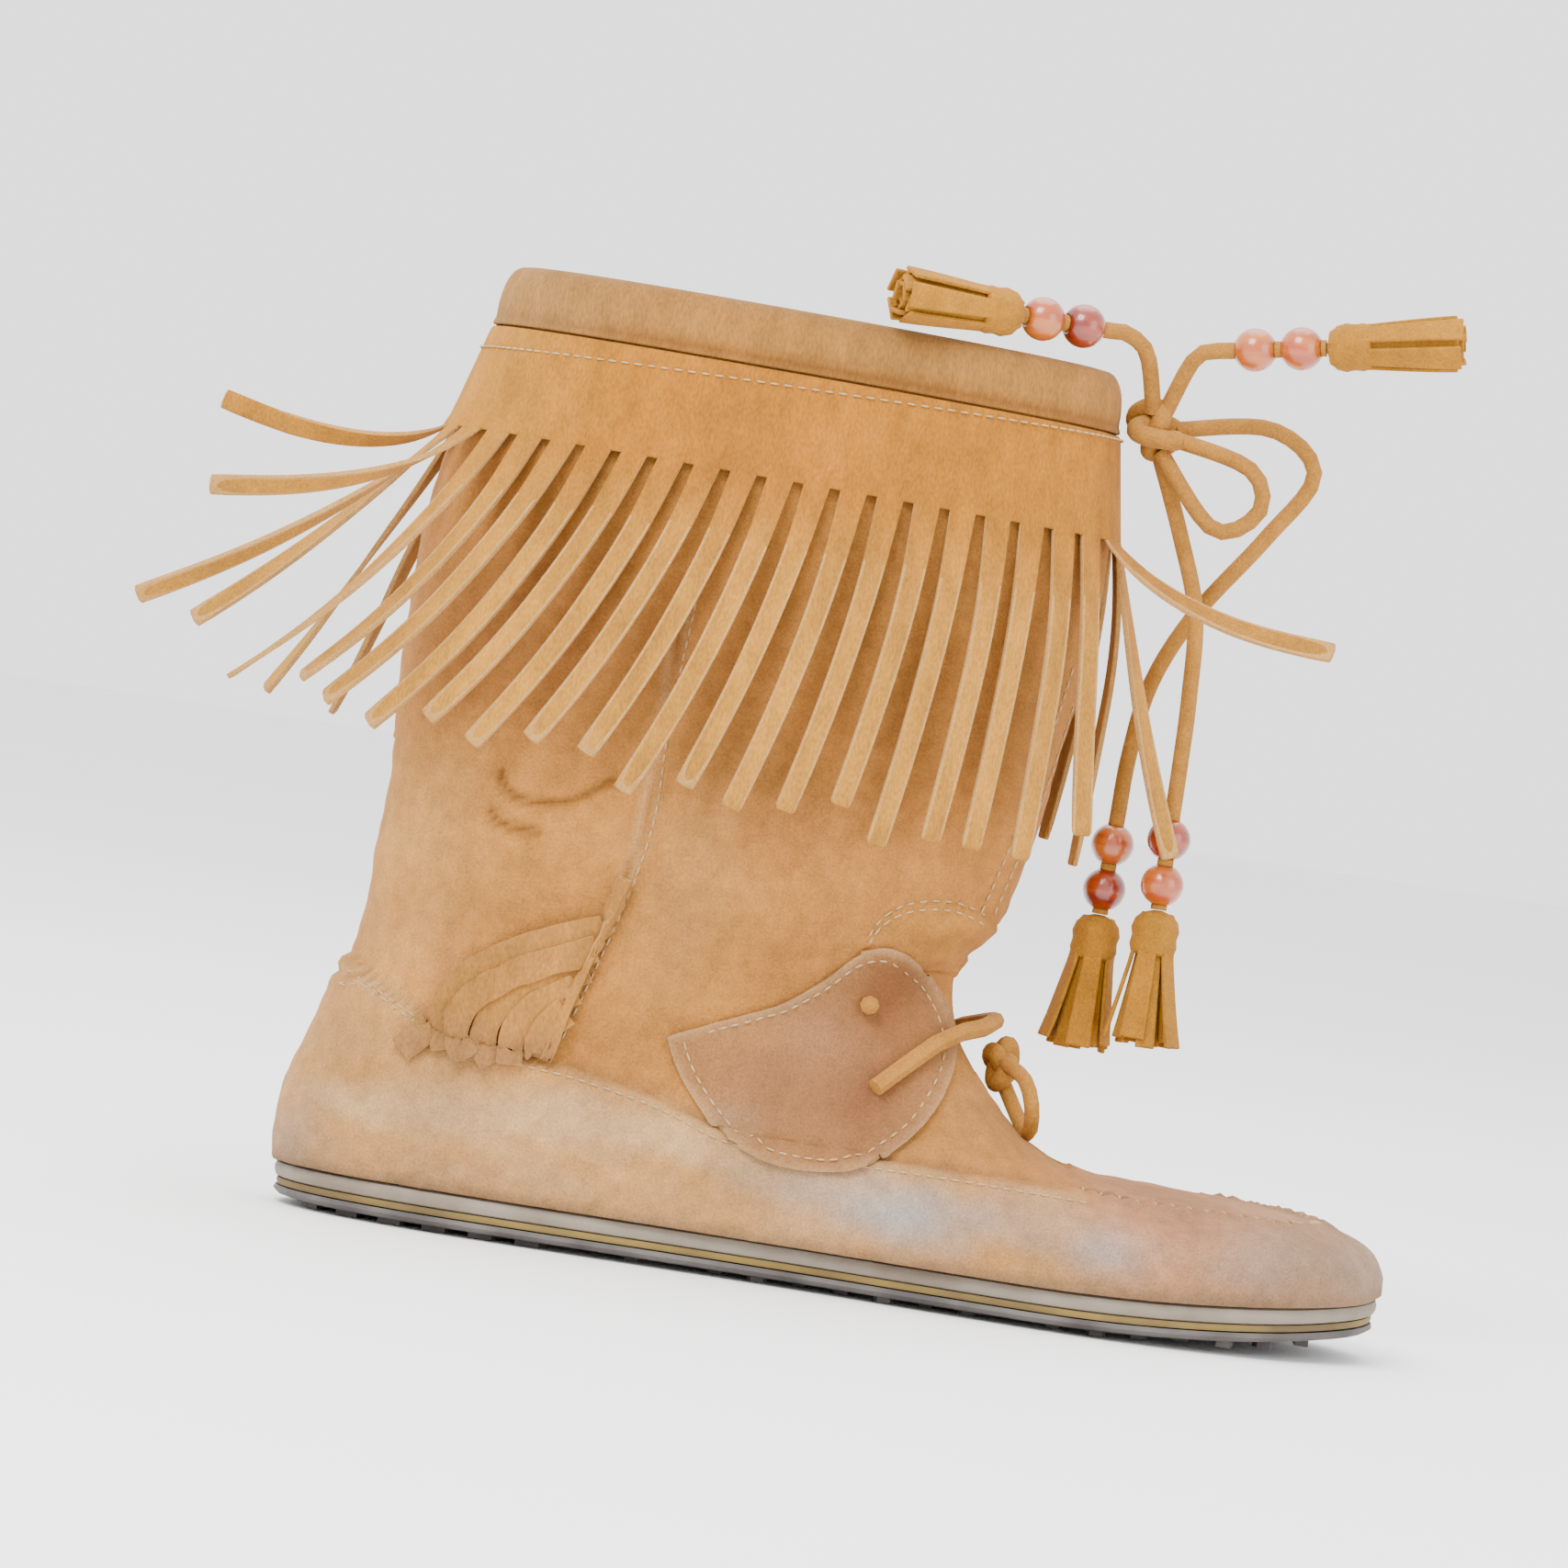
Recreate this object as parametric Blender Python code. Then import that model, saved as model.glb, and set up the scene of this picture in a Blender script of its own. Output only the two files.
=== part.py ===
"""Fringed suede moccasin ankle boot for the right foot, standing empty on the floor.

Shoe coordinates: x from the heel's back to the toe, y to the inner side, z up from the
floor, in metres. An empty at the end sets the origin on the floor under the heel.
"""

import math
from collections import namedtuple

import bmesh
import bpy
import numpy as np
from mathutils import Quaternion, Vector
from mathutils.bvhtree import BVHTree

# Driving sizes
FOOT_LENGTH = 0.255
BALL_WIDTH = 0.092
SHAFT_WIDTH = 0.079
THROAT_HEIGHT = 0.074
COLLAR_HEIGHT = 0.216
HEEL_REST = 0.045
TOE_SPRING = 0.005
TREAD_DEPTH = 0.0013
OUTSOLE_THICKNESS = 0.0037
LINE_THICKNESS = 0.0018
STRIP_THICKNESS = 0.0040
WALL = 0.0020
SKIN = 0.0013
TONGUE_THICKNESS = 0.0015
INSOLE_THICKNESS = 0.0025
GAP = 0.0003
SEAT = 0.0005
THROAT_LENGTH = 0.050
THROAT_WIDTH = 0.028
BAND_HEIGHT = 0.012
YOKE_HEIGHT = 0.024
STRIP_COUNT = 46
STRIP_LENGTH = 0.074
STRIP_WIDTH = 0.0052
FRINGE_THICKNESS = 0.0012
BAR_PITCH = 0.011
BAR_WIDTH = 0.0055
BAR_COUNT = 6
NUB_DIAMETER = 0.005
NUB_PITCH = 0.0096
LACE_DIAMETER = 0.0042
THONG_DIAMETER = 0.0038
BEAD_DIAMETER = 0.0100
TASSEL_LENGTH = 0.031
TASSEL_DIAMETER = 0.011
KNOT_DIAMETER = 0.015

SOLE_HEIGHT = OUTSOLE_THICKNESS + LINE_THICKNESS + STRIP_THICKNESS
AROUND = 20

# Outline of the sole: place and half width along it, and how far its middle swings inward
Edge = namedtuple("Edge", "place half swing")
SOLE_OUTLINE = [
    Edge(0.015, 0.140, 0.000),
    Edge(0.060, 0.250, 0.000),
    Edge(0.140, 0.325, 0.000),
    Edge(0.250, 0.348, -0.006),
    Edge(0.360, 0.345, -0.025),
    Edge(0.480, 0.362, -0.040),
    Edge(0.580, 0.412, -0.040),
    Edge(0.680, 0.468, -0.030),
    Edge(0.760, 0.490, -0.015),
    Edge(0.840, 0.468, 0.008),
    Edge(0.910, 0.400, 0.030),
    Edge(0.960, 0.285, 0.048),
    Edge(0.988, 0.160, 0.056),
]

# Sections of the upper, from the toe to the collar. Each stands across the boot between its
# top and its low point. x is a share of the foot's length; a level is 0 at the sole's top,
# 1 at the throat and 2 at the collar; the half width is a share of the ball's width plus a
# share of the shaft's width.
Section = namedtuple("Section", "top_x top_level low_x low_level ball shaft swing belly top_power low_power")
UPPER = [
    Section(0.998, 0.077, 0.998, 0.009, 0.000, 0.000, 0.054, 0.50, 2.2, 2.2),
    Section(0.986, 0.157, 0.986, -0.085, 0.152, 0.000, 0.054, 0.50, 2.2, 2.4),
    Section(0.965, 0.212, 0.967, -0.099, 0.283, 0.000, 0.054, 0.50, 2.3, 2.6),
    Section(0.922, 0.270, 0.925, -0.105, 0.386, 0.000, 0.038, 0.50, 2.4, 3.0),
    Section(0.855, 0.314, 0.863, -0.098, 0.462, 0.000, 0.016, 0.50, 2.4, 3.2),
    Section(0.780, 0.341, 0.780, -0.094, 0.500, 0.000, -0.011, 0.50, 2.4, 3.4),
    Section(0.714, 0.367, 0.682, -0.093, 0.489, 0.000, -0.033, 0.50, 2.3, 3.6),
    Section(0.663, 0.473, 0.573, -0.093, 0.451, 0.000, -0.043, 0.52, 2.1, 3.8),
    Section(0.624, 0.643, 0.451, -0.093, 0.413, 0.000, -0.038, 0.54, 2.0, 4.0),
    Section(0.594, 0.829, 0.322, -0.093, 0.391, 0.000, -0.016, 0.54, 2.0, 4.4),
    Section(0.578, 0.977, 0.188, -0.093, 0.380, 0.000, 0.000, 0.52, 2.0, 4.6),
    Section(0.582, 1.035, 0.071, -0.093, 0.370, 0.000, 0.000, 0.50, 2.1, 3.4),
    Section(0.600, 1.070, 0.008, -0.060, 0.261, 0.127, 0.000, 0.50, 2.1, 2.5),
    Section(0.614, 1.106, 0.000, 0.225, 0.185, 0.222, 0.000, 0.50, 2.2, 2.4),
    Section(0.622, 1.155, 0.020, 0.504, 0.098, 0.329, 0.000, 0.50, 2.2, 2.4),
    Section(0.629, 1.225, 0.041, 0.814, 0.000, 0.456, 0.000, 0.50, 2.3, 2.4),
    Section(0.639, 1.324, 0.051, 1.099, 0.000, 0.468, 0.000, 0.50, 2.3, 2.4),
    Section(0.651, 1.465, 0.049, 1.310, 0.000, 0.487, 0.000, 0.50, 2.3, 2.4),
    Section(0.661, 1.620, 0.045, 1.535, 0.000, 0.500, 0.000, 0.50, 2.3, 2.4),
    Section(0.659, 1.775, 0.059, 1.732, 0.000, 0.487, 0.000, 0.50, 2.3, 2.4),
    Section(0.647, 1.894, 0.086, 1.894, 0.000, 0.456, 0.000, 0.50, 2.3, 2.4),
    Section(0.639, 1.986, 0.100, 2.014, 0.000, 0.443, 0.000, 0.50, 2.3, 2.4),
]
COLLAR_ROW = len(UPPER) - 1
STATIONS = [0, 1, 2, 3, 4, 5, 6, 6.5, 7, 7.5, 8, 8.5, 9, 9.5, 10, 10.5, 11, 11.5, 12, 12.5, 13, 14, 15,
            16, 17, 18, 19, 20, 21]

# Flat patterns in side view: x as a share of the foot's length, then a level as above
Spot = namedtuple("Spot", "x level")
RAND_TOP = [
    Spot(-0.060, 0.760), Spot(0.039, 0.745), Spot(0.114, 0.610), Spot(0.132, 0.510), Spot(0.243, 0.500),
    Spot(0.330, 0.440), Spot(0.400, 0.355), Spot(0.482, 0.340), Spot(0.600, 0.345), Spot(0.720, 0.330),
]
FLAP = [
    Spot(0.334, 0.690), Spot(0.363, 0.560), Spot(0.405, 0.440), Spot(0.450, 0.366), Spot(0.497, 0.356),
    Spot(0.538, 0.395), Spot(0.575, 0.530), Spot(0.587, 0.720), Spot(0.572, 0.915), Spot(0.540, 1.020),
    Spot(0.492, 1.035), Spot(0.405, 0.880),
]
TAB = [
    Spot(0.494, 1.052), Spot(0.510, 1.090), Spot(0.545, 1.120), Spot(0.600, 1.125), Spot(0.690, 1.100),
    Spot(0.690, 1.000), Spot(0.583, 0.985), Spot(0.572, 0.990), Spot(0.545, 1.040),
]

# The side fringe: its strips' roots run down the quarter seam, and each sweeps back to its tip
Feather = namedtuple("Feather", "root_x root_level mid_x mid_level tip_x tip_level")
FEATHERS = [
    Feather(0.252, 0.660, 0.200, 0.620, 0.145, 0.572),
    Feather(0.262, 0.755, 0.200, 0.705, 0.140, 0.640),
    Feather(0.272, 0.850, 0.205, 0.792, 0.142, 0.710),
    Feather(0.282, 0.945, 0.212, 0.882, 0.146, 0.782),
]

# The collar fringe by place round the boot: 0 at the front, 1 at the back over the outer side,
# -1 at the back over the inner side. Where a strip's tip lies, as shares of its length:
# swept to the back, dropped and stood off the shaft, and its twist in turns
Sweep = namedtuple("Sweep", "place sweep drop flare twist")
FRINGE = [
    Sweep(-1.00, 0.00, 0.60, 0.66, 0.20),
    Sweep(-0.93, 0.00, 0.84, 0.42, 0.12),
    Sweep(-0.84, 0.05, 0.95, 0.16, 0.04),
    Sweep(-0.60, 0.08, 0.98, 0.06, 0.00),
    Sweep(-0.30, 0.03, 0.99, 0.05, 0.00),
    Sweep(-0.04, 0.00, 0.99, 0.04, 0.00),
    Sweep(0.00, 0.00, 0.96, 0.14, 0.08),
    Sweep(0.03, 0.00, 0.86, 0.46, 0.18),
    Sweep(0.08, 0.00, 0.90, 0.36, 0.14),
    Sweep(0.13, -0.02, 0.97, 0.14, 0.04),
    Sweep(0.22, 0.00, 0.99, 0.06, 0.00),
    Sweep(0.36, 0.12, 0.97, 0.06, 0.00),
    Sweep(0.50, 0.26, 0.92, 0.07, 0.00),
    Sweep(0.62, 0.36, 0.86, 0.09, 0.02),
    Sweep(0.74, 0.36, 0.80, 0.20, 0.05),
    Sweep(0.84, 0.20, 0.76, 0.42, 0.12),
    Sweep(0.91, 0.08, 0.60, 0.66, 0.18),
    Sweep(0.97, 0.00, 0.52, 0.70, 0.22),
    Sweep(1.00, 0.00, 0.50, 0.70, 0.22),
]

# Strips bent out of line, by their number from the front over the outer side
STRAYS = {
    1: Sweep(0.07, 0.00, 0.24, 0.72, 0.20),
    20: Sweep(0.89, 0.05, 0.30, 0.78, 0.24),
    22: Sweep(0.98, 0.00, 0.02, 0.66, 0.24),
}

# Free thongs as routes of points: x, y and z as shares of the foot's length, the ball's width
# and the collar's height
RIM_THONG = [(0.675, -0.070, 0.985), (0.666, -0.125, 1.022), (0.645, -0.165, 1.039), (0.626, -0.191, 1.039)]
FRONT_THONG = [(0.697, -0.050, 0.985), (0.706, -0.090, 1.018), (0.718, -0.115, 1.034), (0.738, -0.125, 1.038)]
LONG_THONG = [(0.724, 0.040, 0.955), (0.790, 0.060, 0.966), (0.835, 0.085, 0.925), (0.800, 0.110, 0.850),
              (0.748, 0.135, 0.760), (0.718, 0.150, 0.680), (0.708, 0.155, 0.600), (0.706, 0.155, 0.530)]
SHORT_THONG = [(0.698, 0.010, 0.896), (0.722, 0.026, 0.840), (0.746, 0.036, 0.760), (0.752, 0.044, 0.670),
               (0.753, 0.046, 0.600), (0.753, 0.046, 0.545)]
LOOP_OUT = [(0.725, -0.070, 0.930), (0.772, -0.120, 0.918), (0.786, -0.120, 0.875), (0.748, -0.090, 0.850),
            (0.700, -0.060, 0.900)]
ANKLE_LOOP = [(0.640, -0.110, 0.262), (0.654, -0.175, 0.246), (0.664, -0.185, 0.214), (0.662, -0.120, 0.190),
              (0.644, -0.045, 0.200)]

Look = namedtuple("Look", "red green blue rough metallic")
LOOKS = {
    "outsole_rubber": Look(96, 90, 88, 0.75, 0.0),
    "midsole_foam": Look(170, 158, 143, 0.70, 0.0),
    "insole_leather": Look(150, 112, 78, 0.80, 0.0),
    "upper_suede": Look(205, 155, 112, 0.92, 0.0),
    "rand_suede": Look(214, 174, 134, 0.92, 0.0),
    "plug_suede": Look(176, 142, 116, 0.90, 0.0),
    "tongue_suede": Look(190, 132, 90, 0.92, 0.0),
    "flap_leather": Look(170, 126, 100, 0.72, 0.0),
    "collar_suede": Look(160, 122, 84, 0.90, 0.0),
    "fringe_suede": Look(196, 145, 98, 0.92, 0.0),
    "thong_suede": Look(196, 150, 104, 0.92, 0.0),
    "bead_wood": Look(206, 122, 98, 0.30, 0.0),
}


def spring(x):
    """Rise of the sole's underside above the floor at x."""
    start = 0.68
    share = max(0.0, (x / FOOT_LENGTH - start) / (1.0 - start))
    return TOE_SPRING * share * share


def height(x, level):
    """Height of a level at x: 0 on the sole's top, 1 at the throat, 2 at the collar."""
    low = SOLE_HEIGHT + spring(x)
    if level <= 1.0:
        return low + (THROAT_HEIGHT - low) * level
    return THROAT_HEIGHT + (COLLAR_HEIGHT - THROAT_HEIGHT) * (level - 1.0)


def blend(rows, at):
    """Row read between table rows along a Catmull-Rom curve."""
    at = min(max(at, 0.0), len(rows) - 1.0)
    k = min(int(at), len(rows) - 2)
    t = at - k
    last = len(rows) - 1
    a, b, c, d = (np.array(rows[min(max(i, 0), last)], float) for i in (k - 1, k, k + 1, k + 2))
    return b + 0.5 * t * (c - a + t * (2 * a - 5 * b + 4 * c - d + t * (3 * (b - c) + d - a)))


def sock(row, angle):
    """Point of the upper's outer form; angle 0 is on top, and rises over the inner side."""
    s = Section(*blend(UPPER, row))
    top_x, low_x = s.top_x * FOOT_LENGTH, s.low_x * FOOT_LENGTH
    top = Vector((top_x, 0.0, height(top_x, s.top_level)))
    low = Vector((low_x, 0.0, height(low_x, s.low_level)))
    half = s.ball * BALL_WIDTH + s.shaft * SHAFT_WIDTH
    cosine, sine = math.cos(angle), math.sin(angle)
    power = s.top_power if cosine >= 0 else s.low_power
    reach = (abs(cosine) ** power + abs(sine) ** power) ** (-1.0 / power)
    depth = s.belly if cosine >= 0 else 1.0 - s.belly
    point = top.lerp(low, s.belly - depth * reach * cosine)
    point.y = s.swing * BALL_WIDTH + max(half, 0.0) * reach * sine
    return point


def on_shaft(angle, z, out=0.0):
    """Point of the shaft at a height, moved out level with the floor, and the way out."""
    def find(turn):
        low, high = 12.0, float(COLLAR_ROW)
        for _ in range(30):
            mid = (low + high) / 2
            if sock(mid, turn).z < z:
                low = mid
            else:
                high = mid
        return sock(low, turn)
    point, ahead, behind = find(angle), find(angle + 0.02), find(angle - 0.02)
    along = (ahead - behind).normalized()
    way = Vector((along.y, -along.x, 0.0)).normalized()
    middle = Vector((0.37 * FOOT_LENGTH, 0.0, point.z))
    if way.dot(point - middle) < 0:
        way = -way
    return point + way * out, way


def add(name, mesh, look):
    """Object of a mesh with its own material."""
    thing = bpy.data.objects.new(name, mesh)
    bpy.context.scene.collection.objects.link(thing)
    if look:
        paint(thing, look)
    return thing


def paint(thing, look):
    """Give the object its own Principled material."""
    values = LOOKS[look]
    material = bpy.data.materials.new(thing.name + "_" + look)
    material.use_nodes = True
    shader = material.node_tree.nodes["Principled BSDF"]
    linear = [(c / 255.0) ** 2.2 for c in (values.red, values.green, values.blue)]
    shader.inputs["Base Color"].default_value = (*linear, 1.0)
    shader.inputs["Roughness"].default_value = values.rough
    shader.inputs["Metallic"].default_value = values.metallic
    thing.data.materials.clear()
    thing.data.materials.append(material)


def finish(bm, name, look=None, smooth=True):
    """Turn a bmesh into an object with its faces outward."""
    bmesh.ops.recalc_face_normals(bm, faces=bm.faces)
    if bm.calc_volume(signed=True) < 0:
        bmesh.ops.reverse_faces(bm, faces=bm.faces)
    mesh = bpy.data.meshes.new(name)
    bm.to_mesh(mesh)
    bm.free()
    if smooth:
        mesh.shade_smooth()
        mesh.set_sharp_from_angle(angle=math.radians(35))
    return add(name, mesh, look)


def mapped_grid(columns, rows, place):
    """Grid of whole columns and rows, each vertex put at place(column, row)."""
    bm = bmesh.new()
    bmesh.ops.create_grid(bm, x_segments=columns, y_segments=rows, size=0.5)
    for v in bm.verts:
        v.co = place(round((v.co.x + 0.5) * columns), round((v.co.y + 0.5) * rows))
    bmesh.ops.remove_doubles(bm, verts=bm.verts, dist=1e-6)
    return bm


def sock_form(offset, rise=0.0):
    """Closed solid of the upper's form, its skin moved out by the offset, its collar raised."""
    bm = mapped_grid(AROUND, len(STATIONS) - 1,
                     lambda i, k: sock(STATIONS[k], math.tau * (i % AROUND) / AROUND))
    bmesh.ops.recalc_face_normals(bm, faces=bm.faces)
    bm.normal_update()
    middle = Vector((0.37 * FOOT_LENGTH, 0.0, 0.5 * COLLAR_HEIGHT))
    widest = max(bm.verts, key=lambda v: (v.co - middle).y)
    sign = 1.0 if widest.normal.y > 0 else -1.0
    moves = [(v, v.normal * offset * sign) for v in bm.verts]
    for v, move in moves:
        v.co += move
    rim = [e for e in bm.edges if e.is_boundary]
    if rise:
        grown = bmesh.ops.extrude_edge_only(bm, edges=rim)["geom"]
        bmesh.ops.translate(bm, verts=[g for g in grown if isinstance(g, bmesh.types.BMVert)],
                            vec=(0.0, 0.0, rise))
        rim = [g for g in grown if isinstance(g, bmesh.types.BMEdge) and g.is_boundary]
    bmesh.ops.holes_fill(bm, edges=rim, sides=0)
    return finish(bm, "form")


def prism(points, way, name="cutter"):
    """Closed solid of a flat outline, drawn out along the way."""
    bm = bmesh.new()
    face = bm.faces.new([bm.verts.new(p) for p in points])
    grown = bmesh.ops.extrude_face_region(bm, geom=[face])["geom"]
    bmesh.ops.translate(bm, verts=[g for g in grown if isinstance(g, bmesh.types.BMVert)], vec=way)
    return finish(bm, name, smooth=False)


def side_prism(spots, low, high):
    """Prism of a side-view pattern between two places across the boot."""
    points = [(s.x * FOOT_LENGTH, low, height(s.x * FOOT_LENGTH, s.level)) for s in spots]
    return prism(points, (0.0, high - low, 0.0))


def cut(body, cutter, operation="DIFFERENCE", keep=False):
    """Cut, join or intersect the body with the cutter."""
    modifier = body.modifiers.new("cut", "BOOLEAN")
    modifier.operation = operation
    modifier.object = cutter
    modifier.solver = "EXACT"
    bpy.context.view_layer.update()
    graph = bpy.context.evaluated_depsgraph_get()
    shape = bpy.data.meshes.new_from_object(body.evaluated_get(graph))
    body.modifiers.clear()
    body.data = shape
    if not keep:
        bpy.data.objects.remove(cutter)
    return body


def named(body, name, look):
    """Name a cut body and give it its material."""
    bm = bmesh.new()
    bm.from_mesh(body.data)
    bmesh.ops.remove_doubles(bm, verts=bm.verts, dist=2e-6)
    bmesh.ops.dissolve_degenerate(bm, edges=bm.edges, dist=2e-6)
    bm.to_mesh(body.data)
    bm.free()
    body.name = name
    body.data.name = name
    paint(body, look)
    body.data.shade_smooth()
    body.data.set_sharp_from_angle(angle=math.radians(35))
    return body


def outline(inset=0.0):
    """Points round the sole, from the heel up the outer side to the toe and back, set in."""
    out = [(0.0, 0.0)]
    out += [(e.place * FOOT_LENGTH, (e.swing - e.half) * BALL_WIDTH) for e in SOLE_OUTLINE]
    out += [(FOOT_LENGTH, 0.06 * BALL_WIDTH)]
    out += [(e.place * FOOT_LENGTH, (e.swing + e.half) * BALL_WIDTH) for e in reversed(SOLE_OUTLINE)]
    count = len(out)
    loop = []
    for k in range(2 * count):
        i, t = k // 2, (k % 2) / 2
        a, b, c, d = (np.array(out[(i + j) % count]) for j in (-1, 0, 1, 2))
        loop.append(b + 0.5 * t * (c - a + t * (2 * a - 5 * b + 4 * c - d + t * (3 * (b - c) + d - a))))
    total = len(loop)
    moved = []
    for k in range(total):
        along = loop[(k + 1) % total] - loop[k - 1]
        along = along / np.linalg.norm(along)
        moved.append(loop[k] + inset * np.array([-along[1], along[0]]))
    return moved


def sole_layer(name, look, rings):
    """Closed slab through rings round the sole, each with its inset and height."""
    bm = bmesh.new()
    base = outline()
    loops = []
    for inset, z in rings:
        loops.append([bm.verts.new((p[0], p[1], z + spring(q[0]))) for p, q in zip(outline(inset), base)])
    total = len(base)
    for low, high in zip(loops, loops[1:]):
        for k in range(total):
            bm.faces.new([low[k], low[(k + 1) % total], high[(k + 1) % total], high[k]])
    for loop in (loops[0], loops[-1]):
        half = total // 2
        bm.faces.new([loop[0], loop[1], loop[-1]])
        bm.faces.new([loop[half], loop[half - 1], loop[half + 1]])
        for k in range(1, half - 1):
            bm.faces.new([loop[k], loop[k + 1], loop[total - k - 1], loop[total - k]])
    return finish(bm, name, look)


def under_sole(top):
    """Block under a surface that follows the sole, for cutting what stands on it."""
    count = 24
    points = []
    for k in range(count + 1):
        x = (-0.06 + 1.14 * k / count) * FOOT_LENGTH
        points.append((x, -BALL_WIDTH, top + spring(x)))
    points += [(1.08 * FOOT_LENGTH, -BALL_WIDTH, -0.03), (-0.06 * FOOT_LENGTH, -BALL_WIDTH, -0.03)]
    return prism(points, (0.0, 2 * BALL_WIDTH, 0.0))


def oval_cutter(length, width, depth):
    """Oval column through the instep, square to its slope, for the throat."""
    low = Vector((0.700 * FOOT_LENGTH, 0.0, height(0.700 * FOOT_LENGTH, 0.400)))
    high = Vector((0.572 * FOOT_LENGTH, 0.0, height(0.572 * FOOT_LENGTH, 0.960)))
    along = (high - low).normalized()
    out = Vector((-along.z, 0.0, along.x)) * -1.0
    if out.z < 0:
        out = -out
    middle = (low + high) / 2 - out * depth / 2
    points = []
    for k in range(20):
        turn = math.tau * k / 20
        points.append(middle + along * math.cos(turn) * length / 2
                      + Vector((0.0, 1.0, 0.0)) * math.sin(turn) * width / 2)
    return prism(points, out * depth)


def skin_patch(name, look, cutter, lift=SEAT, thick=SKIN):
    """Overlay cut from the skin between two larger forms of the upper."""
    body = sock_form(lift + thick)
    cut(body, cutter, "INTERSECT")
    cut(body, sock_form(lift))
    return named(body, name, look)


def seam_cutter():
    """Everything above the rand's top edge, behind the toe plug."""
    spots = list(RAND_TOP) + [Spot(0.720, 3.0), Spot(-0.060, 3.0)]
    return side_prism(spots, -BALL_WIDTH, BALL_WIDTH)


def plug_outline(inset):
    """Plan of the toe plug, closed at the front and open to the throat."""
    middle = np.array([0.700 * FOOT_LENGTH, -0.015 * BALL_WIDTH])
    points = [(0.708 * FOOT_LENGTH + inset, (-0.015 - 0.330) * BALL_WIDTH + inset),
              (0.770 * FOOT_LENGTH, (-0.012 - 0.322) * BALL_WIDTH + inset)]
    for k in range(9):
        turn = math.radians(-80 + 20 * k)
        points.append(((0.840 * FOOT_LENGTH) + math.cos(turn) * (0.098 * FOOT_LENGTH - inset),
                       0.018 * BALL_WIDTH + math.sin(turn) * (0.305 * BALL_WIDTH - inset)))
    points += [(0.770 * FOOT_LENGTH, (-0.012 + 0.322) * BALL_WIDTH - inset),
               (0.708 * FOOT_LENGTH + inset, (-0.015 + 0.330) * BALL_WIDTH - inset)]
    return [(p[0], p[1], height(middle[0], 0.10)) for p in points]


def smooth_route(points, step):
    """Points about a step apart along a smooth curve through the route."""
    points = [tuple(p) for p in points]
    fine = [Vector(blend(points, k / 12)) for k in range(12 * (len(points) - 1) + 1)]
    length = sum((b - a).length for a, b in zip(fine, fine[1:]))
    count = max(4, round(length / step))
    out, run, k = [fine[0]], 0.0, 0
    for n in range(1, count):
        goal = length * n / count
        while run + (fine[k + 1] - fine[k]).length < goal:
            run += (fine[k + 1] - fine[k]).length
            k += 1
        out.append(fine[k].lerp(fine[k + 1], (goal - run) / (fine[k + 1] - fine[k]).length))
    return out + [fine[-1]]


def tube(name, points, diameter, look):
    """Round thong along the points, as a curve with filled caps."""
    curve = bpy.data.curves.new(name, "CURVE")
    curve.dimensions = "3D"
    curve.bevel_depth = diameter / 2
    curve.bevel_resolution = 2
    curve.resolution_u = 1
    curve.use_fill_caps = True
    route = smooth_route(points, 2.4 * diameter)
    spline = curve.splines.new("POLY")
    spline.points.add(len(route) - 1)
    for point, place in zip(spline.points, route):
        point.co = (*place, 1.0)
    thing = bpy.data.objects.new(name, curve)
    bpy.context.scene.collection.objects.link(thing)
    paint(thing, look)
    return route


def spun(name, profile, look, place, way, steps=12):
    """Turned solid of a profile of radius and height, set on its axis."""
    bm = bmesh.new()
    ring = [bm.verts.new((r, 0.0, z)) for r, z in profile]
    edges = [bm.edges.new((a, b)) for a, b in zip(ring, ring[1:])]
    if profile[0][0] > 0:
        edges.append(bm.edges.new((ring[-1], ring[0])))
    bmesh.ops.spin(bm, geom=ring + edges, cent=(0, 0, 0), axis=(0, 0, 1), angle=math.tau, steps=steps,
                   use_merge=True)
    bmesh.ops.remove_doubles(bm, verts=bm.verts, dist=1e-6)
    thing = finish(bm, name, look)
    thing.location = place
    thing.rotation_mode = "QUATERNION"
    thing.rotation_quaternion = Vector(way).to_track_quat("Z", "Y")
    return thing


def bead(name, place, way):
    """Round wooden bead with a bore for the thong."""
    ball, bore = BEAD_DIAMETER / 2, THONG_DIAMETER / 2 + GAP
    end = math.asin((bore + 0.0004) / ball)
    profile = [(bore, -ball * math.cos(end) + 0.0003)]
    for k in range(5):
        turn = end + (math.pi - 2 * end) * k / 4
        profile.append((ball * math.sin(turn), -ball * math.cos(turn)))
    profile.append((bore, ball * math.cos(end) - 0.0003))
    return spun(name, profile, "bead_wood", place, way, 10)


def tassel(name, place, way, spread):
    """Bound head and flared strips of a tassel as one lobed solid."""
    lobes, segments = 8, 16
    rings = [(0.0, 0.60, 0.0), (0.10, 0.92, 0.0), (0.28, 0.88, 0.03), (0.60, 0.90 + 0.35 * spread, 0.10),
             (1.0, 1.0 + spread, 0.16)]
    bm = mapped_grid(segments, len(rings) - 1, lambda i, k: Vector((
        math.cos(math.tau * i / segments) * TASSEL_DIAMETER / 2 * rings[k][1]
        * (1 + rings[k][2] * math.cos(lobes * math.tau * i / segments)),
        math.sin(math.tau * i / segments) * TASSEL_DIAMETER / 2 * rings[k][1]
        * (1 + rings[k][2] * math.cos(lobes * math.tau * i / segments)),
        rings[k][0] * TASSEL_LENGTH)))
    bmesh.ops.holes_fill(bm, edges=[e for e in bm.edges if e.is_boundary], sides=0)
    thing = finish(bm, name, "thong_suede")
    thing.location = place
    thing.rotation_mode = "QUATERNION"
    thing.rotation_quaternion = Vector(way).to_track_quat("Z", "Y")
    return thing


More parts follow.
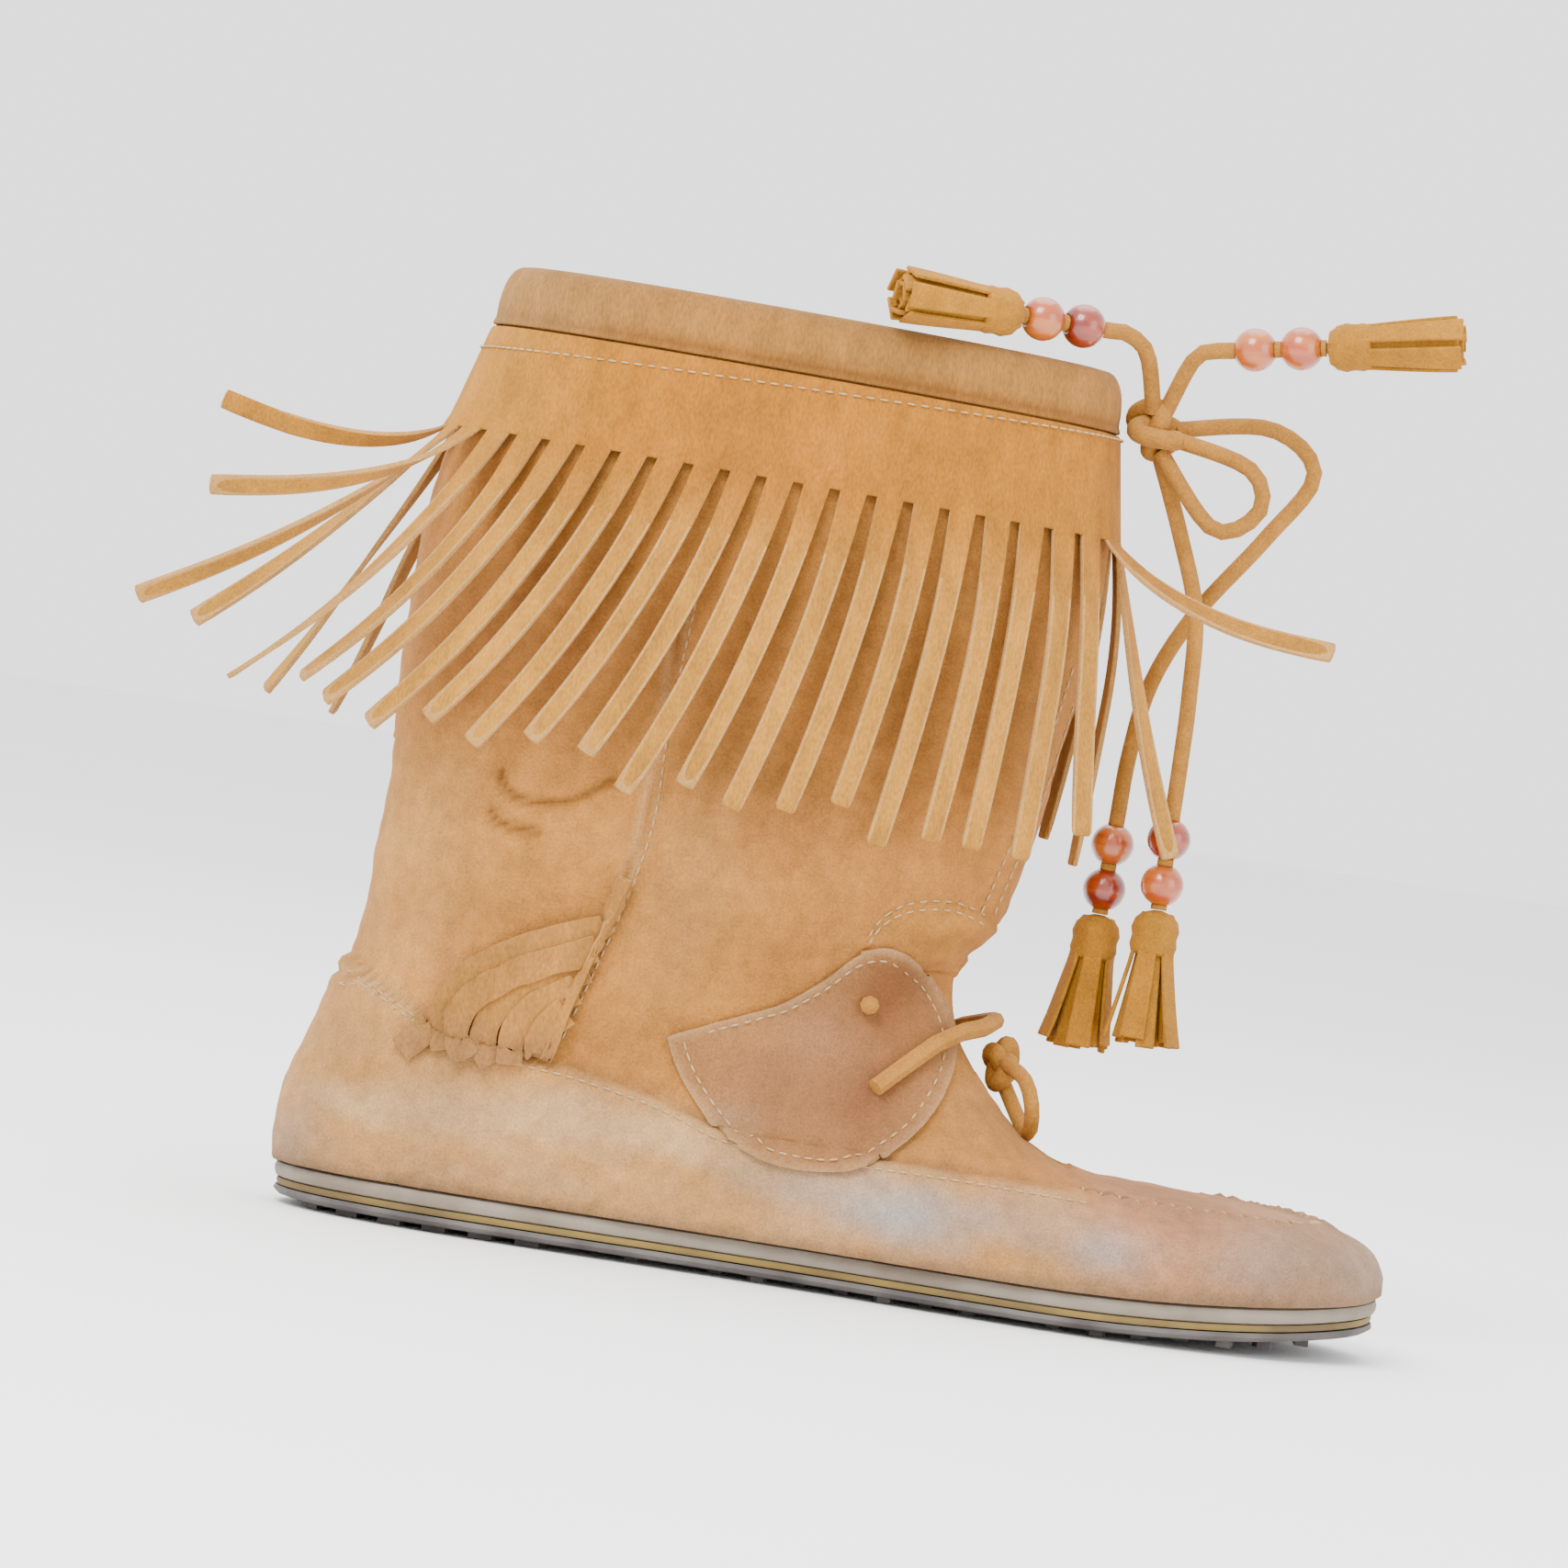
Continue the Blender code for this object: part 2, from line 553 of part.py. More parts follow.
def knot(name, place, stretch):
    """Lump of an overhand knot."""
    bm = bmesh.new()
    bmesh.ops.create_uvsphere(bm, u_segments=12, v_segments=8, radius=KNOT_DIAMETER / 2)
    for v in bm.verts:
        turn = math.atan2(v.co.y, v.co.x)
        v.co *= 1.0 + 0.08 * math.sin(3 * turn + 2.0 * v.co.z / KNOT_DIAMETER * math.pi)
        v.co = Vector((v.co.x * stretch[0], v.co.y * stretch[1], v.co.z * stretch[2]))
    thing = finish(bm, name, "thong_suede")
    thing.location = place
    return thing


def world(route, lump=None, both=False):
    """Route of shares as points in shoe coordinates, its ends seated on a knot."""
    points = [Vector((x * FOOT_LENGTH, y * BALL_WIDTH, z * COLLAR_HEIGHT)) for x, y, z in route]
    if lump:
        middle = lump.location
        bm = bmesh.new()
        bm.from_mesh(lump.data)
        tree = BVHTree.FromBMesh(bm)
        bm.free()
        for end in (0, -1) if both else (0,):
            way = (points[end] - middle).normalized()
            hit = tree.ray_cast(way * 0.1, -way)[0]
            points[end] = middle + way * (hit.length + 2 * SEAT)
    return points


def dressed_thong(name, route, spread, lump):
    """Free thong from the knot with two beads near its end and a tassel on it."""
    points = world(route, lump)
    way = (points[-1] - points[-2]).normalized()
    step = BEAD_DIAMETER + 2 * GAP
    points.append(points[-1] + way * (2 * step + 0.001))
    placed = tube(name, points, THONG_DIAMETER, "thong_suede")
    end = placed[-1]
    tassel(name + "_tassel", end + way * GAP * 2, way, spread)
    for k in range(2):
        bead(name + "_bead_" + "ab"[k], end - way * (BEAD_DIAMETER / 2 + GAP + 0.0004 + step * k), way)


def build_sole():
    """Outsole with its tread, midsole strip and insole."""
    plate = sole_layer("outsole", None, [
        (0.0035, TREAD_DEPTH), (0.0012, TREAD_DEPTH + 0.0005), (0.0, OUTSOLE_THICKNESS - 0.0010),
        (0.0004, OUTSOLE_THICKNESS)])
    field = 0.0055
    bars = bmesh.new()
    for k in range(BAR_COUNT):
        x = HEEL_REST + (k - BAR_COUNT // 2) * BAR_PITCH
        made = bmesh.ops.create_cube(bars, size=1.0)["verts"]
        for v in made:
            y = v.co.y * BALL_WIDTH
            v.co = Vector((x + v.co.x * BAR_WIDTH + 0.25 * y, y, TREAD_DEPTH / 2 + v.co.z * (TREAD_DEPTH + 0.0006)
                           + 0.0003))
    lugs = finish(bars, "bars", smooth=False)
    floor = prism([(p[0], p[1], -0.01) for p in outline(field)], (0.0, 0.0, 0.03))
    cut(lugs, floor, "INTERSECT")
    nubs = bmesh.new()
    ring = outline(field + NUB_DIAMETER / 2)
    for row in range(18):
        x = HEEL_REST + (BAR_COUNT // 2) * BAR_PITCH + 0.067 * BALL_WIDTH + NUB_PITCH * row
        near = [p for p in ring if abs(p[0] - x) < 0.012]
        if not near:
            continue
        low, high = min(p[1] for p in near), max(p[1] for p in near)
        for column in range(-4, 5):
            y = (column + 0.5 * (row % 2)) * NUB_PITCH * 1.15
            share = x / FOOT_LENGTH
            worn = 0.60 < share < 0.80 and abs(y) < 0.30 * BALL_WIDTH
            if not low < y < high or worn or share > 0.90:
                continue
            made = bmesh.ops.create_cone(nubs, cap_ends=True, segments=5, radius1=NUB_DIAMETER / 2,
                                         radius2=NUB_DIAMETER / 2, depth=TREAD_DEPTH + 0.0006)["verts"]
            bmesh.ops.translate(nubs, verts=made,
                                vec=(x, y, spring(x - NUB_DIAMETER / 2) + TREAD_DEPTH / 2 + 0.0003))
    cut(plate, lugs, "UNION")
    cut(plate, finish(nubs, "nubs", smooth=False), "UNION")
    pad = []
    for k in range(16):
        turn = math.tau * k / 16
        pad.append((0.690 * FOOT_LENGTH + 0.082 * FOOT_LENGTH * math.cos(turn),
                    -0.020 * BALL_WIDTH + 0.215 * BALL_WIDTH * math.sin(turn), 0.0))
    cut(plate, prism(pad, (0.0, 0.0, TREAD_DEPTH + 0.0008)), "UNION")
    ridge = prism([(0.925 * FOOT_LENGTH, -0.22 * BALL_WIDTH, spring(0.925 * FOOT_LENGTH)),
                   (0.937 * FOOT_LENGTH, -0.22 * BALL_WIDTH, spring(0.925 * FOOT_LENGTH)),
                   (0.937 * FOOT_LENGTH, 0.30 * BALL_WIDTH, spring(0.925 * FOOT_LENGTH)),
                   (0.925 * FOOT_LENGTH, 0.30 * BALL_WIDTH, spring(0.925 * FOOT_LENGTH))],
                  (0.0, 0.0, TREAD_DEPTH + 0.0010))
    cut(plate, ridge, "UNION")
    named(plate, "outsole", "outsole_rubber")
    low = OUTSOLE_THICKNESS + GAP
    line = OUTSOLE_THICKNESS + LINE_THICKNESS
    sole_layer("midsole", "midsole_foam", [
        (0.0010, low), (0.0010, line), (0.0, line + 0.0003), (-0.0002, SOLE_HEIGHT - 0.0010),
        (0.0006, SOLE_HEIGHT)])
    insole = under_sole(SOLE_HEIGHT + GAP + INSOLE_THICKNESS)
    cut(insole, under_sole(SOLE_HEIGHT + GAP))
    cut(insole, sock_form(-WALL - 2 * GAP), "INTERSECT")
    named(insole, "insole", "insole_leather")


def build_upper():
    """Hollow upper with its overlays and tongue."""
    body = sock_form(0.0)
    cut(body, sock_form(-WALL, rise=0.03))
    cut(body, under_sole(SOLE_HEIGHT + GAP))
    cut(body, oval_cutter(THROAT_LENGTH, THROAT_WIDTH, 0.030))
    named(body, "upper", "upper_suede")

    rand = sock_form(SEAT + SKIN)
    cut(rand, under_sole(SOLE_HEIGHT + GAP))
    cut(rand, sock_form(SEAT, rise=0.03))
    cut(rand, prism(plug_outline(0.0), (0.0, 0.0, THROAT_HEIGHT)))
    cut(rand, seam_cutter())
    named(rand, "rand", "rand_suede")

    skin_patch("vamp_plug", "plug_suede", prism(plug_outline(2 * GAP), (0.0, 0.0, THROAT_HEIGHT)))
    reach = 0.75 * BALL_WIDTH
    skin_patch("ankle_flap_lateral", "flap_leather", side_prism(FLAP, -reach, -0.16 * BALL_WIDTH))
    skin_patch("ankle_flap_medial", "flap_leather", side_prism(FLAP, 0.16 * BALL_WIDTH, reach))
    skin_patch("instep_tab", "upper_suede", side_prism(TAB, -reach, reach))

    comb = [Spot(0.298, 1.035), Spot(0.250, 0.600)]
    half = 0.032
    for f in FEATHERS:
        comb += [Spot(f.root_x - 0.015, f.root_level - half), Spot(f.mid_x, f.mid_level - half),
                 Spot(f.tip_x, f.tip_level - half), Spot(f.tip_x - 0.006, f.tip_level + 0.6 * half),
                 Spot(f.mid_x, f.mid_level + half), Spot(f.root_x - 0.015, f.root_level + half)]
    skin_patch("side_fringe", "fringe_suede", side_prism(comb, -reach, 0.0))

    tongue = sock_form(-WALL - 2 * SEAT)
    cut(tongue, oval_cutter(THROAT_LENGTH + 0.016, THROAT_WIDTH + 0.014, 0.036), "INTERSECT")
    cut(tongue, sock_form(-WALL - 2 * SEAT - TONGUE_THICKNESS))
    named(tongue, "tongue", "tongue_suede")


def build_collar():
    """Rolled band over the collar's edge."""
    roll = FRINGE_THICKNESS + 0.0004
    inside = WALL + GAP
    profile = [(GAP, -BAND_HEIGHT), (GAP + roll, -BAND_HEIGHT), (GAP + roll + 0.0008, -0.5 * BAND_HEIGHT),
               (GAP + roll, 0.0), (0.3 * roll, GAP + roll), (-inside - 0.3 * roll, GAP + roll),
               (-inside - roll, 0.0), (-inside - roll, -0.8 * BAND_HEIGHT), (-inside, -0.8 * BAND_HEIGHT),
               (-inside, GAP), (GAP, GAP)]
    count = len(profile)

    def place(i, k):
        angle = math.tau * (i % AROUND) / AROUND
        out, rise = profile[k % count]
        edge = sock(COLLAR_ROW, angle)
        below, way = on_shaft(angle, edge.z - BAND_HEIGHT)
        slope = (edge - below) / BAND_HEIGHT
        return edge + slope * rise + way * out

    finish(mapped_grid(AROUND, count, place), "collar_band", "collar_suede")


def strip_shape(place):
    """Tip of the strip at a place round the boot, read between the table's rows."""
    places = [s.place for s in FRINGE]
    return [float(np.interp(place, places, [getattr(s, key) for s in FRINGE]))
            for key in ("sweep", "drop", "flare", "twist")]


def build_fringe():
    """Yoke round the shaft with the strips cut from it, as one body."""
    top_drop = BAND_HEIGHT + 2 * GAP
    low_drop = top_drop + YOKE_HEIGHT
    fine = [math.tau * k / 360 for k in range(361)]
    hem = COLLAR_HEIGHT - low_drop
    ring = [on_shaft(a, hem)[0] for a in fine]
    run = np.concatenate([[0.0], np.cumsum([(b - a).length for a, b in zip(ring, ring[1:])])])
    around = float(run[-1])

    def turn(share):
        return float(np.interp((share % 1.0) * around, run, fine)) + math.tau * math.floor(share)

    def spot(angle, drop, out):
        edge = sock(COLLAR_ROW, angle).z
        return on_shaft(angle, edge - drop, out)

    lift = SEAT + 2 * GAP
    bm = bmesh.new()
    columns = []
    width = STRIP_WIDTH * 1.12 / around
    for n in range(STRIP_COUNT):
        middle = (n + 0.5) / STRIP_COUNT
        for share in (middle - width / 2, middle + width / 2):
            angle = -turn(share)
            columns.append([bm.verts.new(spot(angle, drop, out)[0])
                            for drop, out in ((top_drop, lift), (top_drop, lift + FRINGE_THICKNESS),
                                              (low_drop, lift + FRINGE_THICKNESS), (low_drop, lift))])
    total = len(columns)
    for c in range(total):
        left, right = columns[c], columns[(c + 1) % total]
        bm.faces.new([left[0], left[1], right[1], right[0]])
        bm.faces.new([left[1], left[2], right[2], right[1]])
        bm.faces.new([left[3], left[0], right[0], right[3]])
        if c % 2:
            bm.faces.new([left[2], left[3], right[3], right[2]])

    steps = 5
    for n in range(STRIP_COUNT):
        middle = (n + 0.5) / STRIP_COUNT
        place = 2 * middle if middle <= 0.5 else 2 * middle - 2
        sweep, drop, flare, twist = STRAYS[n][1:] if n in STRAYS else strip_shape(place)
        ripple = math.sin(2.4 * n) + 0.6 * math.sin(5.1 * n + 1.0)
        length = STRIP_LENGTH * (1.0 + 0.04 * ripple)
        side = -1.0 if place < 0 else 1.0
        lifted = 0.0020 * (n % 2)
        size = 1.0 if n in STRAYS else math.sqrt(sweep ** 2 + drop ** 2 + flare ** 2)
        sweep, drop, flare = (value / size * length for value in (sweep, drop, flare))
        edges = [columns[2 * n], columns[2 * n + 1]]
        ring_now = [edges[0][3], edges[1][3], edges[1][2], edges[0][2]]
        path = []
        for k in range(0, steps + 1):
            t = k / steps
            ease = t ** 1.5
            down = low_drop + drop * t + 0.30 * (length - drop) * t * (1.0 - t)
            aside = sweep * ease * side
            share = middle + aside / around
            angle = -turn(share)
            out = lift + FRINGE_THICKNESS / 2 + (lifted + 0.0011) * min(1.0, 3 * t) + flare * t ** 1.4
            path.append(spot(angle, min(down, COLLAR_HEIGHT * 0.80), out))
        level = (edges[1][3].co - edges[0][3].co).normalized()
        outward = 1.0
        for k in range(1, steps + 1):
            here, way = path[k]
            along = (here - path[k - 1][0]).normalized()
            level = (level - along * level.dot(along)).normalized()
            level.rotate(Quaternion(along, math.tau * twist / steps * side))
            thick = level.cross(along)
            if k == 1:
                outward = 1.0 if thick.dot(way) > 0 else -1.0
            thick = thick * outward
            half = level * STRIP_WIDTH / 2 * (1.0 - 0.10 * k / steps)
            inner, outer = -thick * FRINGE_THICKNESS / 2, thick * FRINGE_THICKNESS / 2
            ring_next = [bm.verts.new(here - half + inner), bm.verts.new(here + half + inner),
                         bm.verts.new(here + half + outer), bm.verts.new(here - half + outer)]
            for a in range(4):
                bm.faces.new([ring_now[a], ring_now[(a + 1) % 4], ring_next[(a + 1) % 4], ring_next[a]])
            ring_now = ring_next
        bm.faces.new(ring_now)
    finish(bm, "fringe", "fringe_suede", smooth=False)


def build_lace(tree):
    """Lace across the throat from flap to flap, with its knot and loop."""
    lift = SEAT + SKIN + 2 * GAP + LACE_DIAMETER / 2

    def on_side(x, level, side, out):
        start = Vector((x * FOOT_LENGTH, side * BALL_WIDTH, height(x * FOOT_LENGTH, level)))
        hit, normal, _, _ = tree.ray_cast(start, Vector((0.0, -side, 0.0)))
        return hit + normal.normalized() * out

    side_points = [(0.520, 0.560), (0.545, 0.660), (0.570, 0.760)]
    outer = [on_side(x, level, -1.0, lift) for x, level in side_points]
    inner = [on_side(x, level, 1.0, lift) for x, level in side_points]
    front = Vector((0.622 * FOOT_LENGTH, 0.0, height(0.622 * FOOT_LENGTH, 0.860)))
    near = [Vector((0.608 * FOOT_LENGTH, y * BALL_WIDTH, height(0.608 * FOOT_LENGTH, 0.830))) for y in (-0.14, 0.14)]
    tube("ankle_lace", outer + [near[0], front, near[1]] + inner[::-1], LACE_DIAMETER, "thong_suede")
    nub = on_side(0.500, 0.860, -1.0, SEAT + SKIN + 5 * GAP)
    spun("lace_nub", [(0.0, 0.0), (0.0020, 0.0), (0.0022, 0.0015), (0.0012, 0.0024), (0.0, 0.0026)],
         "thong_suede", nub, (0.0, -1.0, 0.25), 8)
    lump = knot("ankle_knot", (0.6325 * FOOT_LENGTH, -0.012 * BALL_WIDTH, height(0.632 * FOOT_LENGTH, 0.713)),
                (0.62, 0.78, 0.88))
    tube("ankle_loop", world(ANKLE_LOOP, lump, both=True), LACE_DIAMETER * 0.85, "thong_suede")


def build_tie():
    """Knot, loops and dressed ends of the collar thong."""
    lump = knot("collar_knot", (0.6855 * FOOT_LENGTH, -0.010 * BALL_WIDTH, 0.945 * COLLAR_HEIGHT),
                (0.95, 1.0, 1.0))
    tube("collar_loop", world(LOOP_OUT, lump, both=True), THONG_DIAMETER, "thong_suede")
    dressed_thong("rim_thong", RIM_THONG, 0.10, lump)
    dressed_thong("front_thong", FRONT_THONG, 0.10, lump)
    dressed_thong("long_thong", LONG_THONG, 0.55, lump)
    dressed_thong("short_thong", SHORT_THONG, 0.60, lump)


def main():
    """Build the boot and stand it with its origin under the heel."""
    for thing in list(bpy.data.objects):
        bpy.data.objects.remove(thing)
    form = sock_form(0.0)
    bm = bmesh.new()
    bm.from_mesh(form.data)
    tree = BVHTree.FromBMesh(bm)
    bm.free()
    bpy.data.objects.remove(form)
    build_sole()
    build_upper()
    build_collar()
    build_fringe()
    build_lace(tree)
    build_tie()
    pieces = list(bpy.data.objects)
    stand = bpy.data.objects.new("boot", None)
    bpy.context.scene.collection.objects.link(stand)
    stand.location = (-HEEL_REST, 0.0, 0.0)
    for piece in pieces:
        piece.parent = stand


main()
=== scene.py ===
"""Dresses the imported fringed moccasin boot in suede, stitches, beads and tassels for its studio picture."""

import logging
import math
from dataclasses import dataclass, field
from enum import Enum
from typing import Callable, Optional, Sequence

import bmesh
import bpy
import numpy as np
from mathutils import Matrix, Quaternion, Vector
from mathutils.bvhtree import BVHTree

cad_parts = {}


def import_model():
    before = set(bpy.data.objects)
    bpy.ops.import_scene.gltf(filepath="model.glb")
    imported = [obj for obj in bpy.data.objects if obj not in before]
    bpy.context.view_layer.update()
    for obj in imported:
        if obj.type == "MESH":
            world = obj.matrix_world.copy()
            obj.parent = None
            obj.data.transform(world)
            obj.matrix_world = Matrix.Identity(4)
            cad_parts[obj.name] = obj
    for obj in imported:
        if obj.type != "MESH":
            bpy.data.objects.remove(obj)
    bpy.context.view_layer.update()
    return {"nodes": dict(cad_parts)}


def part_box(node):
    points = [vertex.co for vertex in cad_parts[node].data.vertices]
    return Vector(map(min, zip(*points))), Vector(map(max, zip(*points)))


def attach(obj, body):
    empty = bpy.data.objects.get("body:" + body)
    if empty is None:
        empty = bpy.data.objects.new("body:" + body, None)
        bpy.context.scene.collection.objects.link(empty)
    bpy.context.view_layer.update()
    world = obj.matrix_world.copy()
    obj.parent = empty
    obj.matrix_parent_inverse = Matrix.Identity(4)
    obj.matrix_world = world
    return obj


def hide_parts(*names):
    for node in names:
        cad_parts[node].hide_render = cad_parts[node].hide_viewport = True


LOG = logging.getLogger("boot")

Colour = tuple[float, float, float]
Point2 = tuple[float, float]
Point3 = tuple[float, float, float]


class Side(Enum):
    """Which side of the boot a piece lies on."""

    OUTER = -1.0
    INNER = 1.0


def shade(red: int, green: int, blue: int, rich: float = 1.45, depth: float = 0.42) -> Colour:
    """Linear colour that shows as the screen colour under the studio's strong soft light.

    Args:
        red, green, blue: the screen colour, 0 to 255.
        rich: how much its colour is strengthened.
        depth: how far it is darkened for the light.

    Returns:
        The linear colour.
    """
    linear = [((c / 255 + 0.055) / 1.055) ** 2.4 for c in (red, green, blue)]
    grey = 0.2126 * linear[0] + 0.7152 * linear[1] + 0.0722 * linear[2]
    return tuple(max(0.004, (grey + (c - grey) * rich) * depth) for c in linear)


def step(value: np.ndarray, low: float, high: float) -> np.ndarray:
    """Smooth step from 0 at low to 1 at high."""
    t = np.clip((value - low) / (high - low), 0.0, 1.0)
    return t * t * (3.0 - 2.0 * t)


@dataclass(frozen=True)
class Last:
    """The form that the upper is shaped on, in the boot's own sizes."""

    foot: float = 0.255
    ball: float = 0.092
    shaft: float = 0.079
    throat_height: float = 0.074
    collar_height: float = 0.216
    heel_rest: float = 0.045
    sole_height: float = 0.0095
    toe_spring: float = 0.005
    # top_x top_level low_x low_level ball shaft swing belly top_power low_power
    rows: tuple = (
        (0.998, 0.077, 0.998, 0.009, 0.000, 0.000, 0.054, 0.50, 2.2, 2.2),
        (0.986, 0.157, 0.986, -0.085, 0.152, 0.000, 0.054, 0.50, 2.2, 2.4),
        (0.965, 0.212, 0.967, -0.099, 0.283, 0.000, 0.054, 0.50, 2.3, 2.6),
        (0.922, 0.270, 0.925, -0.105, 0.386, 0.000, 0.038, 0.50, 2.4, 3.0),
        (0.855, 0.314, 0.863, -0.098, 0.462, 0.000, 0.016, 0.50, 2.4, 3.2),
        (0.780, 0.341, 0.780, -0.094, 0.500, 0.000, -0.011, 0.50, 2.4, 3.4),
        (0.714, 0.367, 0.682, -0.093, 0.489, 0.000, -0.033, 0.50, 2.3, 3.6),
        (0.663, 0.473, 0.573, -0.093, 0.451, 0.000, -0.043, 0.52, 2.1, 3.8),
        (0.624, 0.643, 0.451, -0.093, 0.413, 0.000, -0.038, 0.54, 2.0, 4.0),
        (0.594, 0.829, 0.322, -0.093, 0.391, 0.000, -0.016, 0.54, 2.0, 4.4),
        (0.578, 0.977, 0.188, -0.093, 0.380, 0.000, 0.000, 0.52, 2.0, 4.6),
        (0.582, 1.035, 0.071, -0.093, 0.370, 0.000, 0.000, 0.50, 2.1, 3.4),
        (0.600, 1.070, 0.008, -0.060, 0.261, 0.127, 0.000, 0.50, 2.1, 2.5),
        (0.614, 1.106, 0.000, 0.225, 0.185, 0.222, 0.000, 0.50, 2.2, 2.4),
        (0.622, 1.155, 0.020, 0.504, 0.098, 0.329, 0.000, 0.50, 2.2, 2.4),
        (0.629, 1.225, 0.041, 0.814, 0.000, 0.456, 0.000, 0.50, 2.3, 2.4),
        (0.639, 1.324, 0.051, 1.099, 0.000, 0.468, 0.000, 0.50, 2.3, 2.4),
        (0.651, 1.465, 0.049, 1.310, 0.000, 0.487, 0.000, 0.50, 2.3, 2.4),
        (0.661, 1.620, 0.045, 1.535, 0.000, 0.500, 0.000, 0.50, 2.3, 2.4),
        (0.659, 1.775, 0.059, 1.732, 0.000, 0.487, 0.000, 0.50, 2.3, 2.4),
        (0.647, 1.894, 0.086, 1.894, 0.000, 0.456, 0.000, 0.50, 2.3, 2.4),
        (0.639, 1.986, 0.100, 2.014, 0.000, 0.443, 0.000, 0.50, 2.3, 2.4),
    )
    # Sole outline: place and half width, and how far its middle swings inward
    edge: tuple = (
        (0.015, 0.140, 0.000), (0.060, 0.250, 0.000), (0.140, 0.325, 0.000), (0.250, 0.348, -0.006),
        (0.360, 0.345, -0.025), (0.480, 0.362, -0.040), (0.580, 0.412, -0.040), (0.680, 0.468, -0.030),
        (0.760, 0.490, -0.015), (0.840, 0.468, 0.008), (0.910, 0.400, 0.030), (0.960, 0.285, 0.048),
        (0.988, 0.160, 0.056),
    )

    def spring(self, x: np.ndarray) -> np.ndarray:
        """Rise of the sole's underside at x from the heel's back."""
        share = np.clip((np.asarray(x) / self.foot - 0.68) / 0.32, 0.0, None)
        return self.toe_spring * share * share

    def height(self, x: np.ndarray, level: np.ndarray) -> np.ndarray:
        """Height of a level at x: 0 on the sole's top, 1 at the throat, 2 at the collar."""
        low = self.sole_height + self.spring(x)
        under = low + (self.throat_height - low) * level
        over = self.throat_height + (self.collar_height - self.throat_height) * (level - 1.0)
        return np.where(np.asarray(level) <= 1.0, under, over)

    @staticmethod
    def blend(rows: Sequence, at: np.ndarray) -> np.ndarray:
        """Rows of a table read between its rows along a Catmull-Rom curve."""
        table = np.array(rows, float)
        last = len(table) - 1
        at = np.clip(np.asarray(at, float), 0.0, last)
        k = np.minimum(at.astype(int), last - 1)
        t = (at - k)[..., None]
        a, b, c, d = (table[np.clip(k + i, 0, last)] for i in (-1, 0, 1, 2))
        return b + 0.5 * t * (c - a + t * (2 * a - 5 * b + 4 * c - d + t * (3 * (b - c) + d - a)))

    def skin(self, row: np.ndarray, angle: np.ndarray) -> np.ndarray:
        """Points of the upper's outer form.

        Args:
            row: places between the toe's pole, 0, and the collar, the last row.
            angle: turns round the section in radians, 0 on top, rising over the inner side.

        Returns:
            Array of points in metres in the part's frame.
        """
        s = self.blend(self.rows, row)
        top_x, low_x = s[..., 0] * self.foot, s[..., 2] * self.foot
        top_z, low_z = self.height(top_x, s[..., 1]), self.height(low_x, s[..., 3])
        half = np.clip(s[..., 4] * self.ball + s[..., 5] * self.shaft, 0.0, None)
        cosine, sine = np.cos(angle), np.sin(angle)
        power = np.where(cosine >= 0, s[..., 8], s[..., 9])
        reach = (np.abs(cosine) ** power + np.abs(sine) ** power) ** (-1.0 / power)
        depth = np.where(cosine >= 0, s[..., 7], 1.0 - s[..., 7])
        down = s[..., 7] - depth * reach * cosine
        x = top_x + (low_x - top_x) * down - self.heel_rest
        y = s[..., 6] * self.ball + half * reach * sine
        return np.stack([x, y, top_z + (low_z - top_z) * down], axis=-1)

    def grid(self, count: int, around: int, offset: float = 0.0, first: float = 0.0) -> tuple:
        """Even grid of the skin's points and its outward ways.

        Args:
            count: number of steps from the toe to the collar.
            around: number of steps round the boot.
            offset: distance that the points are moved out by.
            first: row that the grid starts at.

        Returns:
            Points, ways and angles, with one line a station and one column an angle.
        """
        fine = np.linspace(first, len(self.rows) - 1.0, 1500)
        lines = self.skin(fine[:, None], np.array([[0.0, 0.9, 1.7, 2.5, math.pi]]))
        run = np.linalg.norm(np.diff(lines, axis=0), axis=2)
        gone = np.concatenate([[0.0], np.cumsum(run.max(axis=1) * 0.5 + run.mean(axis=1) * 0.5)])
        stations = np.interp(np.linspace(0, gone[-1], count + 1), gone, fine)
        angles = math.tau * np.arange(around) / around
        spots = self.skin(stations[:, None], angles[None, :])
        turn = np.roll(spots, -1, axis=1) - np.roll(spots, 1, axis=1)
        ways = np.cross(turn, np.gradient(spots, axis=0))
        ways /= np.maximum(np.linalg.norm(ways, axis=2, keepdims=True), 1e-12)
        side = count // 2
        outer = ways[side, around // 4, 1]
        ways *= np.sign(outer) if outer else 1.0
        if first == 0.0:
            ways[0] = (1.0, 0.0, 0.0)
        return spots + ways * offset, ways, angles

    def outline(self, inset: float, fine: int) -> np.ndarray:
        """Points round the sole from the heel up the outer side to the toe and back, set in."""
        out = [(0.0, 0.0)]
        out += [(p * self.foot, (s - h) * self.ball) for p, h, s in self.edge]
        out += [(self.foot, 0.06 * self.ball)]
        out += [(p * self.foot, (s + h) * self.ball) for p, h, s in reversed(self.edge)]
        ring = np.array(out)
        count = len(ring)
        loop = []
        for k in range(count * fine):
            i, t = divmod(k, fine)
            t /= fine
            a, b, c, d = (ring[(i + j) % count] for j in (-1, 0, 1, 2))
            loop.append(b + 0.5 * t * (c - a + t * (2 * a - 5 * b + 4 * c - d + t * (3 * (b - c) + d - a))))
        points = np.array(loop)
        along = np.roll(points, -1, axis=0) - np.roll(points, 1, axis=0)
        along /= np.linalg.norm(along, axis=1, keepdims=True)
        return points + inset * np.stack([-along[:, 1], along[:, 0]], axis=1)


LAST = Last()


